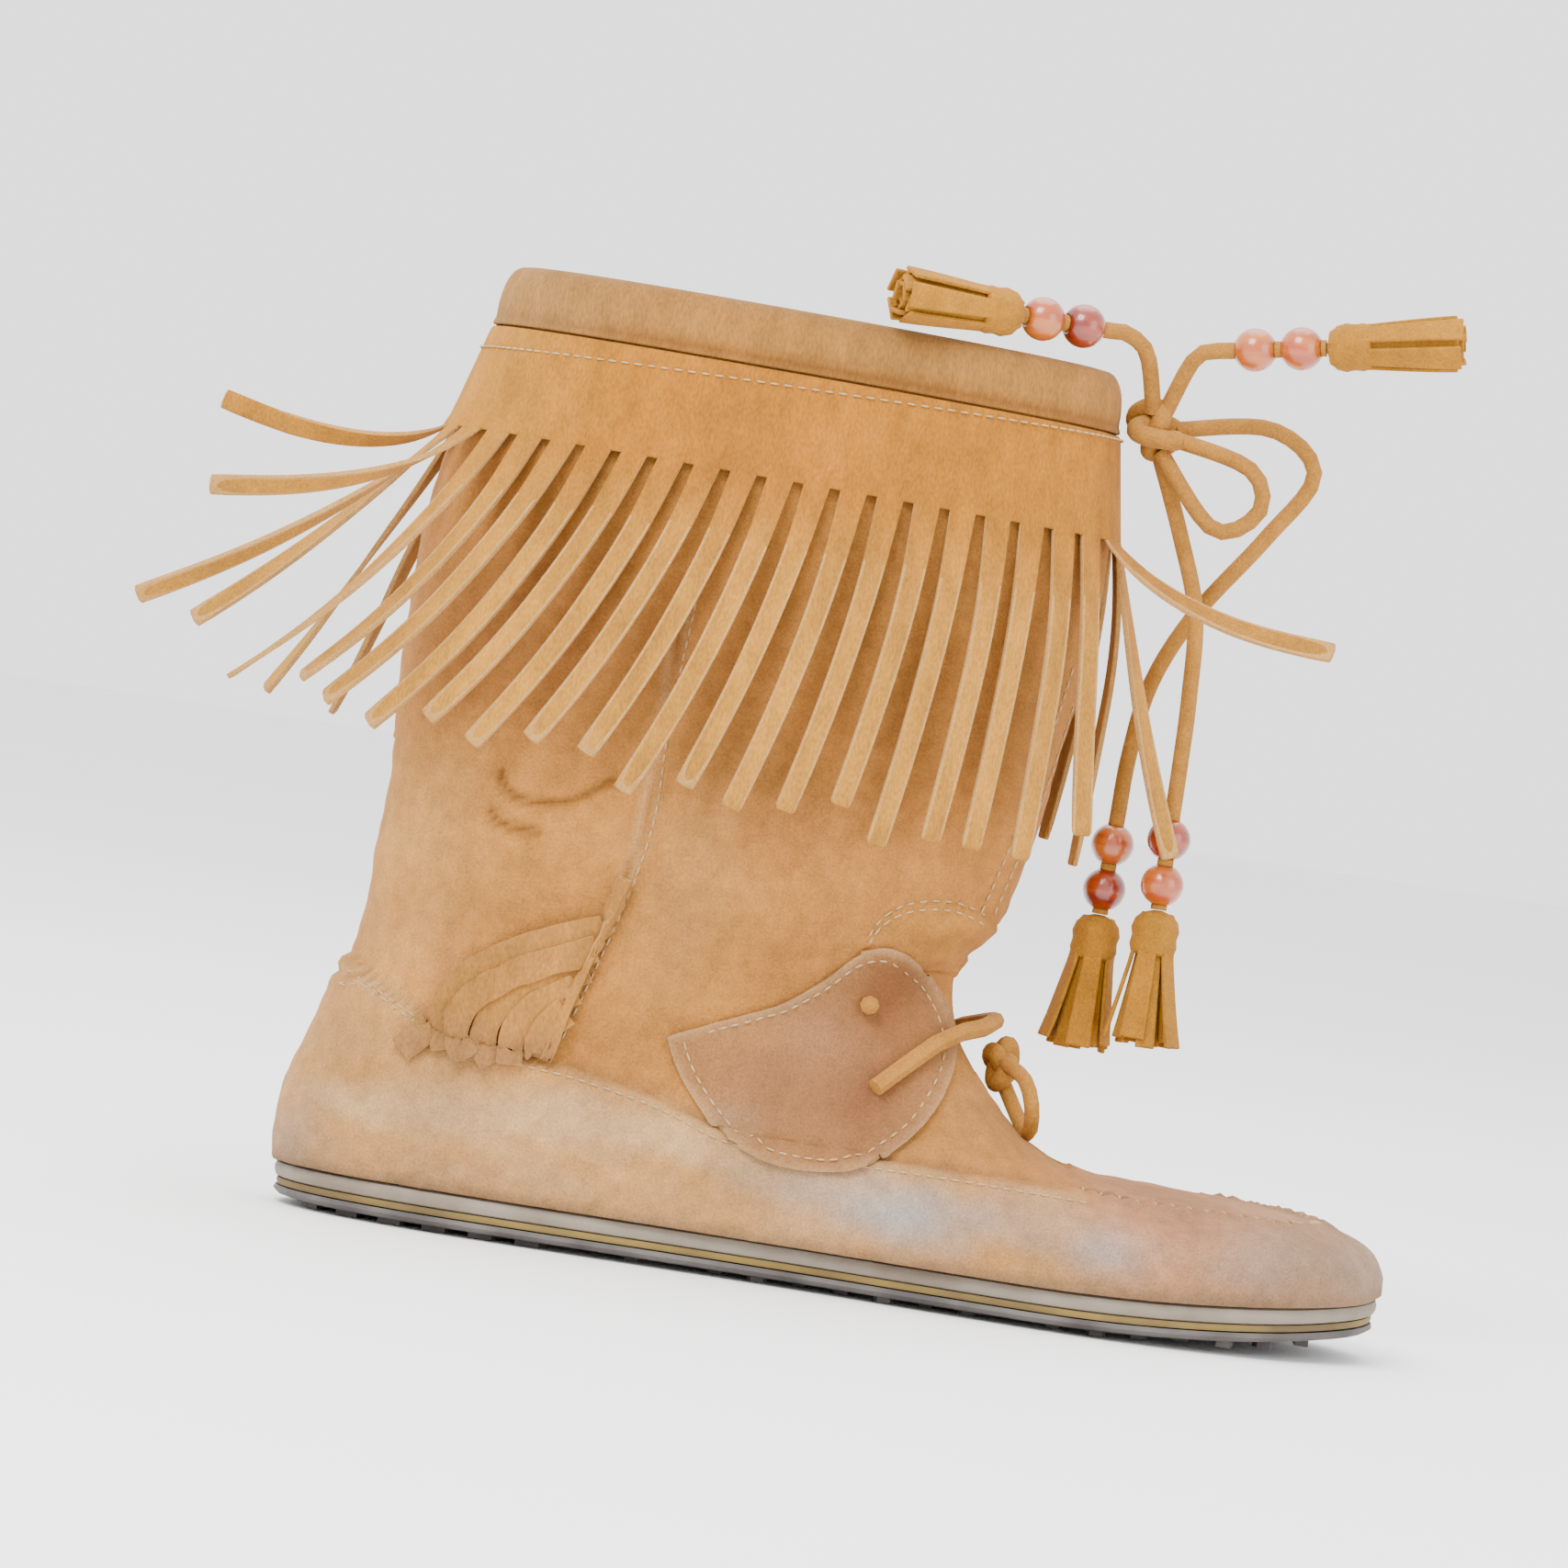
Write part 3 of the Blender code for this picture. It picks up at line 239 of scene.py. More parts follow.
def route_points(spots: Sequence, pitch: float) -> np.ndarray:
    """Even points on a smooth curve through the spots.

    Args:
        spots: points of two or three numbers in metres.
        pitch: distance between the points in metres.

    Returns:
        Array of the points, the first and the last spot among them.
    """
    fine = Last.blend(spots, np.linspace(0, len(spots) - 1, 24 * (len(spots) - 1) + 1))
    run = np.concatenate([[0.0], np.cumsum(np.linalg.norm(np.diff(fine, axis=0), axis=1))])
    places = np.linspace(0, run[-1], max(4, round(run[-1] / pitch)) + 1)
    return np.stack([np.interp(places, run, fine[:, k]) for k in range(fine.shape[1])], axis=1)


def line_distance(x: np.ndarray, z: np.ndarray, line: np.ndarray) -> tuple:
    """Distance from points to a line of points, and the run along it of the nearest place."""
    best, run = np.full(x.shape, 1e9), np.zeros(x.shape)
    gone = 0.0
    for a, b in zip(line[:-1], line[1:]):
        d = b - a
        length = math.hypot(*d)
        t = np.clip(((x - a[0]) * d[0] + (z - a[1]) * d[1]) / length ** 2, 0.0, 1.0)
        away = np.hypot(x - a[0] - t * d[0], z - a[1] - t * d[1])
        near = away < best
        best = np.where(near, away, best)
        run = np.where(near, gone + t * length, run)
        gone += length
    return best, run


# ---------------------------------------------------------------- finishes

@dataclass(frozen=True)
class Suede:
    """Napped leather: soft blotches, fine nap and a dull sheen over a dyed attribute or colour."""

    name: str
    colour: Colour
    dyed: bool = False
    rough: float = 0.93
    sheen: float = 0.22
    nap: float = 0.60
    grain: float = 900.0
    blotch: float = 0.20
    stretch: Point3 = (1.0, 1.0, 1.0)

    def make(self) -> bpy.types.Material:
        """Build the finish's material."""
        made = bpy.data.materials.new(self.name)
        made.use_nodes = True
        tree = made.node_tree
        shader = tree.nodes["Principled BSDF"]
        shader.inputs["Roughness"].default_value = self.rough
        shader.inputs["Sheen Weight"].default_value = self.sheen
        shader.inputs["Sheen Roughness"].default_value = 0.55
        shader.inputs["Sheen Tint"].default_value = (*[min(1.0, c * 1.6 + 0.1) for c in self.colour], 1.0)
        shader.inputs["Specular IOR Level"].default_value = 0.18
        place = tree.nodes.new("ShaderNodeTexCoord")
        turn = tree.nodes.new("ShaderNodeMapping")
        turn.inputs["Scale"].default_value = self.stretch
        tree.links.new(place.outputs["Object"], turn.inputs["Vector"])
        if self.dyed:
            dye = tree.nodes.new("ShaderNodeAttribute")
            dye.attribute_name = "dye"
            base = dye.outputs["Color"]
        else:
            tone = tree.nodes.new("ShaderNodeRGB")
            tone.outputs[0].default_value = (*self.colour, 1.0)
            base = tone.outputs[0]
        for scale, detail, dark, light in ((34.0, 3.0, 1.0 - self.blotch, 1.0 + self.blotch * 0.8),
                                           (260.0, 4.0, 1.0 - self.blotch * 0.7, 1.0 + self.blotch * 0.6),
                                           (self.grain * 2.2, 2.0, 0.80, 1.18)):
            noise = self.noise(tree, turn, scale, detail)
            span = tree.nodes.new("ShaderNodeMapRange")
            span.inputs["From Min"].default_value = 0.3
            span.inputs["From Max"].default_value = 0.7
            span.inputs["To Min"].default_value = dark
            span.inputs["To Max"].default_value = light
            tree.links.new(noise.outputs["Fac"], span.inputs["Value"])
            many = tree.nodes.new("ShaderNodeVectorMath")
            many.operation = "SCALE"
            tree.links.new(base, many.inputs[0])
            tree.links.new(span.outputs["Result"], many.inputs["Scale"])
            base = many.outputs["Vector"]
        tree.links.new(base, shader.inputs["Base Color"])
        fine = self.noise(tree, turn, self.grain, 5.0)
        soft = self.noise(tree, turn, 120.0, 3.0)
        first = tree.nodes.new("ShaderNodeBump")
        first.inputs["Strength"].default_value = self.nap
        first.inputs["Distance"].default_value = 0.0012
        tree.links.new(soft.outputs["Fac"], first.inputs["Height"])
        second = tree.nodes.new("ShaderNodeBump")
        second.inputs["Strength"].default_value = self.nap
        second.inputs["Distance"].default_value = 0.0004
        tree.links.new(fine.outputs["Fac"], second.inputs["Height"])
        tree.links.new(first.outputs["Normal"], second.inputs["Normal"])
        tree.links.new(second.outputs["Normal"], shader.inputs["Normal"])
        return made

    @staticmethod
    def noise(tree: bpy.types.NodeTree, turn: bpy.types.Node, scale: float, detail: float) -> bpy.types.Node:
        """Noise node that reads the mapped place."""
        made = tree.nodes.new("ShaderNodeTexNoise")
        made.inputs["Scale"].default_value = scale
        made.inputs["Detail"].default_value = detail
        tree.links.new(turn.outputs["Vector"], made.inputs["Vector"])
        return made


@dataclass(frozen=True)
class Smooth:
    """Moulded, waxed or turned finish: two mixed colours under a noise, with gloss and coat."""

    name: str
    light: Colour
    dark: Colour
    rough: float = 0.6
    coat: float = 0.0
    scale: float = 60.0
    bump: float = 0.15
    stretch: Point3 = (1.0, 1.0, 1.0)
    spread: Point2 = (0.38, 0.62)

    def make(self) -> bpy.types.Material:
        """Build the finish's material."""
        made = bpy.data.materials.new(self.name)
        made.use_nodes = True
        tree = made.node_tree
        shader = tree.nodes["Principled BSDF"]
        shader.inputs["Roughness"].default_value = self.rough
        shader.inputs["Coat Weight"].default_value = self.coat
        shader.inputs["Coat Roughness"].default_value = 0.18
        shader.inputs["Specular IOR Level"].default_value = 0.35
        place = tree.nodes.new("ShaderNodeTexCoord")
        turn = tree.nodes.new("ShaderNodeMapping")
        turn.inputs["Scale"].default_value = self.stretch
        tree.links.new(place.outputs["Object"], turn.inputs["Vector"])
        broad = Suede.noise(tree, turn, self.scale, 5.0)
        ramp = tree.nodes.new("ShaderNodeValToRGB")
        ramp.color_ramp.elements[0].position, ramp.color_ramp.elements[1].position = self.spread
        ramp.color_ramp.elements[0].color = (*self.dark, 1.0)
        ramp.color_ramp.elements[1].color = (*self.light, 1.0)
        tree.links.new(broad.outputs["Fac"], ramp.inputs["Fac"])
        tree.links.new(ramp.outputs["Color"], shader.inputs["Base Color"])
        fine = Suede.noise(tree, turn, self.scale * 14, 4.0)
        bump = tree.nodes.new("ShaderNodeBump")
        bump.inputs["Strength"].default_value = self.bump
        bump.inputs["Distance"].default_value = 0.0006
        tree.links.new(fine.outputs["Fac"], bump.inputs["Height"])
        tree.links.new(bump.outputs["Normal"], shader.inputs["Normal"])
        return made


SHAFT = shade(205, 152, 108)
PALE = shade(226, 196, 162)
GREY = shade(186, 174, 164)
BLUE_GREY = shade(188, 192, 194)
DARK_TOE = shade(158, 136, 120)
COLLAR = shade(190, 144, 102)
STRIP = shade(203, 150, 102)
# Lighter colour of the strips' cut edges, partly their own paler edge and partly a painted highlight along them
CUT_EDGE_HIGHLIGHT = shade(226, 184, 138)
FLAP_BROWN = shade(176, 132, 100)


class Wardrobe:
    """The boot's materials, each made once."""

    def __init__(self) -> None:
        """Make every finish."""
        self.skin = Suede("suede_dyed", SHAFT, dyed=True).make()
        self.flap = Suede("flap_leather_dyed", FLAP_BROWN, dyed=True, rough=0.78, sheen=0.10, nap=0.25,
                          blotch=0.12).make()
        self.collar = Suede("collar_suede_dyed", COLLAR, dyed=True, stretch=(1.0, 1.0, 0.35)).make()
        self.fringe = Suede("fringe_suede_dyed", STRIP, dyed=True, stretch=(1.0, 1.0, 0.45), nap=0.55).make()
        # Cut edges of the strips: their own paler colour, lightened further as a painted highlight
        self.cut = Suede("cut_edge_highlight_suede", CUT_EDGE_HIGHLIGHT, blotch=0.10).make()
        self.lining = Suede("lining_suede", shade(188, 146, 104), blotch=0.12).make()
        self.tongue = Suede("tongue_suede", shade(196, 136, 92), blotch=0.12).make()
        self.thong = Suede("thong_suede", shade(206, 156, 108), nap=0.7, blotch=0.16).make()
        self.tassel = Suede("tassel_suede", shade(200, 150, 98), nap=0.7, blotch=0.18).make()
        self.thread = Suede("thread_cotton", shade(232, 204, 170), nap=0.2, blotch=0.08).make()
        self.insole = Suede("insole_leather", shade(168, 128, 90), rough=0.75, blotch=0.12).make()
        self.rubber = Smooth("outsole_rubber", shade(132, 126, 122), shade(92, 86, 84), rough=0.62, bump=0.35).make()
        self.line = Smooth("midsole_line", shade(170, 148, 104), shade(128, 110, 82), rough=0.7, scale=40).make()
        self.strip = Smooth("midsole_strip", shade(188, 178, 165), shade(158, 145, 132), rough=0.68,
                            bump=0.3, scale=45).make()
        self.beads = [
            Smooth("bead_wood_" + word, light, dark, rough=0.28, coat=0.9, scale=90, bump=0.1,
                   stretch=(1.0, 1.0, 4.0)).make()
            for word, light, dark in (("pale", shade(230, 152, 114, 1.6), shade(202, 110, 74, 1.6)),
                                      ("red", shade(198, 102, 68, 1.5), shade(146, 62, 40, 1.5)))]


# ---------------------------------------------------------------- meshes

def as_object(bm: bmesh.types.BMesh, name: str, *materials: bpy.types.Material,
              smooth: bool = True) -> bpy.types.Object:
    """Turn a bmesh into an object in the scene.

    Args:
        bm: the mesh, freed afterwards.
        name: the piece's name.
        materials: its materials, in the order of its faces' indexes.
        smooth: whether its faces are shaded smooth.

    Returns:
        The object, riding on the boot.
    """
    mesh = bpy.data.meshes.new(name)
    bm.to_mesh(mesh)
    bm.free()
    if smooth:
        mesh.shade_smooth()
    for material in materials:
        mesh.materials.append(material)
    made = bpy.data.objects.new(name, mesh)
    bpy.context.scene.collection.objects.link(made)
    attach(made, "root")
    return made


def mapped_grid(points: np.ndarray, closed: bool) -> bmesh.types.BMesh:
    """Grid over an array of points, made with the grid operator.

    Args:
        points: array of lines of columns of points.
        closed: whether the columns run round and meet.

    Returns:
        The welded mesh.
    """
    lines, columns = points.shape[0] - 1, points.shape[1] - (0 if closed else 1)
    bm = bmesh.new()
    bmesh.ops.create_grid(bm, x_segments=columns, y_segments=lines, size=0.5)
    for v in bm.verts:
        i, k = round((v.co.x + 0.5) * columns), round((v.co.y + 0.5) * lines)
        v.co = points[k, i % points.shape[1]]
    bmesh.ops.remove_doubles(bm, verts=bm.verts, dist=1e-6)
    return bm


def face_out(bm: bmesh.types.BMesh, way: Callable) -> None:
    """Turn an open sheet's faces so that they look along the way asked at their middle."""
    bm.normal_update()
    votes = sum(1 if f.normal.dot(way(f.calc_center_median())) > 0 else -1 for f in list(bm.faces)[::7])
    if votes < 0:
        bmesh.ops.reverse_faces(bm, faces=bm.faces)


def modify(made: bpy.types.Object, kind: str, **values: float) -> bpy.types.Modifier:
    """Add a modifier with its values."""
    modifier = made.modifiers.new(kind.lower(), kind)
    for key, value in values.items():
        setattr(modifier, key, value)
    return modifier


def dye_mesh(made: bpy.types.Object, painter: Callable) -> None:
    """Write the painter's colours into the piece's dye attribute."""
    mesh = made.data
    places = np.empty(len(mesh.vertices) * 3)
    mesh.vertices.foreach_get("co", places)
    tones = np.ones((len(mesh.vertices), 4))
    tones[:, :3] = painter(places.reshape(-1, 3))
    layer = mesh.color_attributes.new("dye", "FLOAT_COLOR", "POINT")
    layer.data.foreach_set("color", tones.ravel())


@dataclass(frozen=True)
class Stain:
    """Soft patch of another colour on one side, by its middle and reach in side view."""

    x: float
    z: float
    wide: float
    tall: float
    colour: Colour
    weight: float
    both: bool = True


@dataclass(frozen=True)
class Crease:
    """Soft trough, or ridge where its depth is negative, along a side-view line on one side."""

    line: tuple
    width: float
    depth: float
    side: Optional[Side] = Side.OUTER


RAND_SEAM = ((-0.0602, 0.0565), (-0.0352, 0.0575), (-0.0160, 0.0490), (-0.0113, 0.0440), (0.0170, 0.0420),
             (0.0392, 0.0380), (0.0570, 0.0325), (0.0780, 0.0318), (0.1080, 0.0320), (0.1390, 0.0310))
FLAP_EDGE = ((0.0400, 0.0520), (0.0435, 0.0450), (0.0510, 0.0360), (0.0600, 0.0300), (0.0695, 0.0275),
             (0.0790, 0.0275), (0.0880, 0.0300), (0.0965, 0.0365), (0.1020, 0.0450), (0.1045, 0.0540),
             (0.1030, 0.0625), (0.0985, 0.0700), (0.0925, 0.0765), (0.0860, 0.0790), (0.0800, 0.0765),
             (0.0720, 0.0690), (0.0640, 0.0630), (0.0540, 0.0585), (0.0450, 0.0545))
SIDE_SEAM = ((0.0300, 0.1500), (0.0282, 0.1233), (0.0278, 0.0984), (0.0230, 0.0759), (0.0145, 0.0477))
HEEL_SEAM = ((-0.0420, 0.0535), (-0.0343, 0.0540), (-0.0294, 0.0544), (-0.0228, 0.0513), (-0.0131, 0.0465))
TAB_EDGE = ((0.0815, 0.0800), (0.0840, 0.0850), (0.0891, 0.0890), (0.0982, 0.0908), (0.1060, 0.0890),
            (0.1125, 0.0850))
PLUG_EDGE = ((0.1355, -0.0315), (0.1500, -0.0307), (0.1690, -0.0250), (0.1820, -0.0190), (0.1905, -0.0090),
             (0.1940, 0.0020), (0.1915, 0.0120), (0.1830, 0.0220), (0.1690, 0.0290), (0.1500, 0.0290),
             (0.1355, 0.0290))


@dataclass
class Upper:
    """Skin, lining, tongue and overlays of the boot's upper."""

    wardrobe: Wardrobe
    lines: int = 300
    around: int = 320
    wall: float = 0.0020
    throat_length: float = 0.050
    throat_width: float = 0.028
    rand_rise: float = 0.0015
    creases: tuple = (
        Crease(((-0.0060, 0.1056), (-0.0039, 0.1013), (0.0034, 0.0998), (0.0112, 0.1016), (0.0194, 0.1075)),
               0.0011, 0.0013),
        Crease(((-0.0072, 0.0967), (-0.0038, 0.0936), (0.0044, 0.0933)), 0.0011, 0.0013),
        Crease(((-0.0040, 0.1040), (0.0034, 0.1022), (0.0112, 0.1040)), 0.0016, -0.0008),
        Crease(((-0.0091, 0.0850), (-0.0097, 0.0719), (-0.0125, 0.0632), (-0.0136, 0.0568)), 0.0016, 0.0009),
        Crease(((0.0340, 0.1260), (0.0335, 0.0990), (0.0290, 0.0760), (0.0215, 0.0500)), 0.0035, -0.0010),
        Crease(((0.0700, 0.1300), (0.0620, 0.1050), (0.0600, 0.0850)), 0.0080, 0.0014),
        Crease(((0.0400, 0.1150), (0.0500, 0.0920), (0.0520, 0.0720)), 0.0070, -0.0012),
        Crease(((0.0880, 0.1100), (0.0830, 0.1000), (0.0720, 0.0930)), 0.0050, 0.0010),
        Crease(((0.1060, 0.0840), (0.0960, 0.0800), (0.0880, 0.0820)), 0.0022, 0.0012),
        Crease(((0.1070, 0.0760), (0.0990, 0.0740), (0.0930, 0.0760)), 0.0020, 0.0010),
        Crease(((-0.0440, 0.0720), (-0.0300, 0.0690), (-0.0150, 0.0720)), 0.0040, 0.0012),
        Crease(((-0.0440, 0.0850), (-0.0280, 0.0830), (-0.0120, 0.0880)), 0.0050, -0.0010),
        Crease(((-0.0500, 0.0340), (-0.0250, 0.0330), (0.0050, 0.0310), (0.0350, 0.0260)), 0.0050, -0.0010),
        Crease(((0.0250, 0.0220), (0.0500, 0.0200), (0.0800, 0.0190)), 0.0040, 0.0008),
        Crease(((0.1080, 0.0420), (0.1150, 0.0360), (0.1260, 0.0330)), 0.0016, 0.0009),
        Crease(((0.0900, 0.1180), (0.0860, 0.1020), (0.0760, 0.0920)), 0.0060, 0.0012, Side.INNER),
        Crease(((0.0300, 0.1250), (0.0330, 0.0980), (0.0250, 0.0740)), 0.0060, -0.0012, Side.INNER),
        Crease(((0.0500, 0.1100), (0.0520, 0.0850), (0.0450, 0.0650)), 0.0050, 0.0010, Side.INNER),
        Crease(((-0.0440, 0.0740), (-0.0280, 0.0700), (-0.0100, 0.0730)), 0.0040, 0.0012, Side.INNER),
        Crease(((-0.0200, 0.0350), (0.0150, 0.0300), (0.0500, 0.0260)), 0.0050, -0.0009, Side.INNER),
        Crease(((0.1450, 0.0300), (0.1580, 0.0270), (0.1700, 0.0280)), 0.0022, 0.0006, None),
        Crease(((0.1240, 0.0300), (0.1330, 0.0240), (0.1420, 0.0180)), 0.0030, 0.0008, None),
    )
    stains: tuple = (
        Stain(0.0982, 0.0210, 0.016, 0.007, BLUE_GREY, 0.75), Stain(0.1230, 0.0240, 0.014, 0.006, GREY, 0.45),
        Stain(0.0760, 0.0240, 0.018, 0.006, GREY, 0.55), Stain(0.1432, 0.0200, 0.010, 0.005, BLUE_GREY, 0.50),
        Stain(0.1980, 0.0240, 0.020, 0.012, DARK_TOE, 0.85), Stain(0.1770, 0.0220, 0.012, 0.007, GREY, 0.40),
        Stain(0.1640, 0.0270, 0.010, 0.005, shade(190, 140, 120), 0.50),
        Stain(0.1480, 0.0290, 0.012, 0.005, shade(186, 140, 118), 0.45),
        Stain(0.2090, 0.0200, 0.008, 0.012, GREY, 0.60), Stain(0.0300, 0.0300, 0.040, 0.006, PALE, 0.75),
        Stain(-0.0200, 0.0260, 0.030, 0.005, PALE, 0.65), Stain(-0.0440, 0.0150, 0.010, 0.008, GREY, 0.55),
        Stain(0.0100, 0.0150, 0.060, 0.004, shade(196, 164, 136), 0.45),
        Stain(-0.0250, 0.0900, 0.016, 0.020, shade(228, 184, 136), 0.65),
        Stain(-0.0300, 0.0600, 0.018, 0.014, shade(230, 182, 136), 0.70),
        Stain(0.0400, 0.0900, 0.010, 0.026, shade(218, 174, 130), 0.45),
        Stain(0.0650, 0.1050, 0.030, 0.022, shade(198, 146, 106), 0.50),
        Stain(0.0000, 0.1350, 0.040, 0.020, shade(196, 144, 106), 0.60),
        Stain(0.0980, 0.0840, 0.010, 0.005, shade(224, 170, 118), 0.70),
        Stain(0.1140, 0.0440, 0.010, 0.010, shade(200, 150, 110), 0.70),
        Stain(-0.0120, 0.0620, 0.004, 0.016, shade(170, 130, 98), 0.35),
    )
    skin_tree: BVHTree = field(default=None, repr=False)

    def seam_height(self, x: np.ndarray) -> np.ndarray:
        """Height of the rand's top seam at x."""
        fine = route_points(RAND_SEAM, 0.004)
        return np.interp(x, fine[:, 0], fine[:, 1])

    def oval(self, spots: np.ndarray) -> tuple:
        """Places of points in the throat's oval: run along it and across it, in half sizes."""
        x0, x1 = 0.700 * LAST.foot, 0.572 * LAST.foot
        low = np.array([x0 - LAST.heel_rest, 0.0, float(LAST.height(x0, 0.400))])
        high = np.array([x1 - LAST.heel_rest, 0.0, float(LAST.height(x1, 0.960))])
        way = (high - low) / np.linalg.norm(high - low)
        out = np.array([way[2], 0.0, -way[0]])
        gap = spots - (low + high) / 2
        return gap @ way * 2 / self.throat_length, gap[..., 1] * 2 / self.throat_width, gap @ out

    def relief(self, spots: np.ndarray) -> np.ndarray:
        """How far the skin stands out of its form at points: rand, plug, puckers and creases."""
        x, y, z = spots[..., 0], spots[..., 1], spots[..., 2]
        above = z - self.seam_height(x)
        plug_line = route_points(PLUG_EDGE, 0.004)
        away, run = line_distance(x, y, plug_line)
        crown = LAST.height(x + LAST.heel_rest, np.full(x.shape, 0.150))
        middle_y = 0.0005
        half_y = np.interp(x, [0.1355, 0.1500, 0.1690, 0.1820, 0.1905, 0.1940],
                           [0.0305, 0.0300, 0.0270, 0.0205, 0.0105, 0.0])
        inside = (x > 0.1355) & (x < 0.1940) & (np.abs(y - middle_y) < half_y) & (z > crown)
        signed = np.where(inside, -away, away)
        in_front = step(x, 0.134, 0.138)
        below = 1.0 - step(above, -0.0006, 0.0006)
        rand = np.maximum(below, in_front)
        plug = in_front * (1.0 - step(signed, -0.0007, 0.0003)) * (z > crown)
        out = self.rand_rise * rand * (1.0 - plug) + 0.0009 * plug
        on_top = in_front * (z > crown)
        groove = np.exp(-(signed / 0.0007) ** 2) * on_top
        pucker = np.exp(-((signed - 0.0022) / 0.0022) ** 2) * (0.5 + 0.5 * np.cos(math.tau * run / 0.0042)) * on_top
        out = out - 0.0006 * groove + 0.0009 * pucker
        inward = np.exp(-((signed + 0.0024) / 0.0018) ** 2) * (0.5 + 0.5 * np.cos(math.tau * run / 0.0042)) * on_top
        out = out + 0.0004 * inward
        out -= 0.0006 * np.exp(-((above - 0.0004) / 0.0008) ** 2) * (1.0 - in_front)
        for crease in self.creases:
            line = route_points(crease.line, 0.004)
            away, run = line_distance(x, z, line)
            total = float(np.linalg.norm(np.diff(line, axis=0), axis=1).sum())
            fade = step(run, 0.0, total * 0.22) * step(total - run, 0.0, total * 0.22) if crease.width > 0.0012 else 1.0
            amount = crease.depth * np.exp(-(away / crease.width) ** 2) * fade
            if crease.side is not None:
                amount = amount * step(y * crease.side.value, 0.0, 0.012)
            out = out - amount
        seam, _ = line_distance(x, z, route_points(SIDE_SEAM, 0.004))
        out = out - 0.0007 * np.exp(-(seam / 0.0006) ** 2) * (above > 0) * (np.abs(y) > 0.006)
        heel, _ = line_distance(x, z, route_points(HEEL_SEAM, 0.003))
        out = out - 0.0008 * np.exp(-(heel / 0.0010) ** 2) + 0.0005 * np.exp(-((heel - 0.0022) / 0.0014) ** 2)
        tab, _ = line_distance(x, z, route_points(TAB_EDGE, 0.003))
        in_tab = (z < np.interp(x, [p[0] for p in TAB_EDGE], [p[1] for p in TAB_EDGE], left=0, right=0.085))
        in_tab = in_tab & (z > 0.0745) & (x > 0.0815)
        out = out + 0.0009 * in_tab - 0.0004 * np.exp(-(tab / 0.0006) ** 2)
        waves = 0.0007 * np.sin(x * 70 + 2.1 * np.sin(z * 60) + 1.1 * np.sign(y)) * np.sin(z * 85 + 1.7 + x * 25)
        waves = waves * step(z, 0.05, 0.07) * (1.0 - step(z, 0.150, 0.165))
        small = 0.00018 * np.sin(x * 430 + 3 * np.sin(z * 210)) * np.sin(z * 390 + 2 * np.sin(y * 300 + x * 120))
        return out + waves + small

    def paint(self, spots: np.ndarray) -> np.ndarray:
        """Colours of the skin at points: panels, wear, dirt, painted shade in grooves and creases, painted highlights
        by seams.
        """
        x, y, z = spots[:, 0], spots[:, 1], spots[:, 2]
        tone = np.tile(np.array(SHAFT), (len(spots), 1))

        def mix(colour: Colour, amount: np.ndarray) -> None:
            """Mix a colour in by an amount a point."""
            share = np.clip(amount, 0.0, 1.0)[:, None]
            tone[:] = tone * (1.0 - share) + np.array(colour) * share

        above = z - self.seam_height(x)
        ripple = 0.5 + 0.5 * np.sin(x * 160 + 2.2 * np.sin(z * 230 + 1.0) + 3 * y / 0.05) * np.sin(z * 190 + x * 70)
        mix(shade(218, 170, 126), (1.0 - step(above, -0.001, 0.001)) * 0.8)
        mix(shade(216, 184, 148), (1.0 - step(above, -0.001, 0.001)) * 0.45 * ripple)
        mix(shade(186, 150, 126), step(x, 0.130, 0.150) * 0.75)
        mix(shade(206, 156, 128), step(x, 0.130, 0.150) * (1.0 - step(x, 0.168, 0.190)) * ripple * 0.55)
        for stain in self.stains:
            wobble = 1.0 + 0.25 * np.sin(x * 300 + z * 210) * np.sin(z * 420 - x * 150)
            far = ((x - stain.x) / stain.wide) ** 2 + ((z - stain.z) / stain.tall) ** 2
            mix(stain.colour, stain.weight * np.exp(-far * wobble))
        # Painted shade along the groove of the rand seam
        mix(shade(150, 116, 88), 0.35 * np.exp(-((above - 0.0004) / 0.0009) ** 2) * (x < 0.135))
        for line, weight in ((SIDE_SEAM, 0.55), (HEEL_SEAM, 0.55)):
            away, _ = line_distance(x, z, route_points(line, 0.004))
            # Painted highlight on the lips either side of each seam
            mix(shade(228, 190, 150), weight * np.exp(-((away - 0.0011) / 0.0007) ** 2) * (above > -0.004))
            # Painted shade in each seam's groove
            mix(shade(150, 108, 76), weight * 0.9 * np.exp(-(away / 0.0006) ** 2) * (above > -0.004))
        # Painted shade in the troughs of the two ankle creases, on the outer side
        for crease in self.creases[:2]:
            away, _ = line_distance(x, z, route_points(crease.line, 0.003))
            mix(shade(128, 90, 60), 0.8 * np.exp(-(away / 0.0010) ** 2) * (y < 0))
        # Painted shade along the groove of the plug seam
        plug_line = route_points(PLUG_EDGE, 0.004)
        away, _ = line_distance(x, y, plug_line)
        mix(shade(128, 100, 84), 0.6 * np.exp(-(away / 0.0011) ** 2) * (x > 0.132) * (z > 0.022))
        sole = z - (LAST.sole_height + LAST.spring(x + LAST.heel_rest))
        mix(shade(150, 128, 108), 0.65 * (1.0 - step(sole, 0.0005, 0.0045)))
        low_front = step(x, 0.09, 0.12) * (1.0 - step(z, 0.070, 0.078)) * (above > 0) * (x < 0.136)
        mix(shade(196, 148, 108), 0.6 * low_front)
        return tone

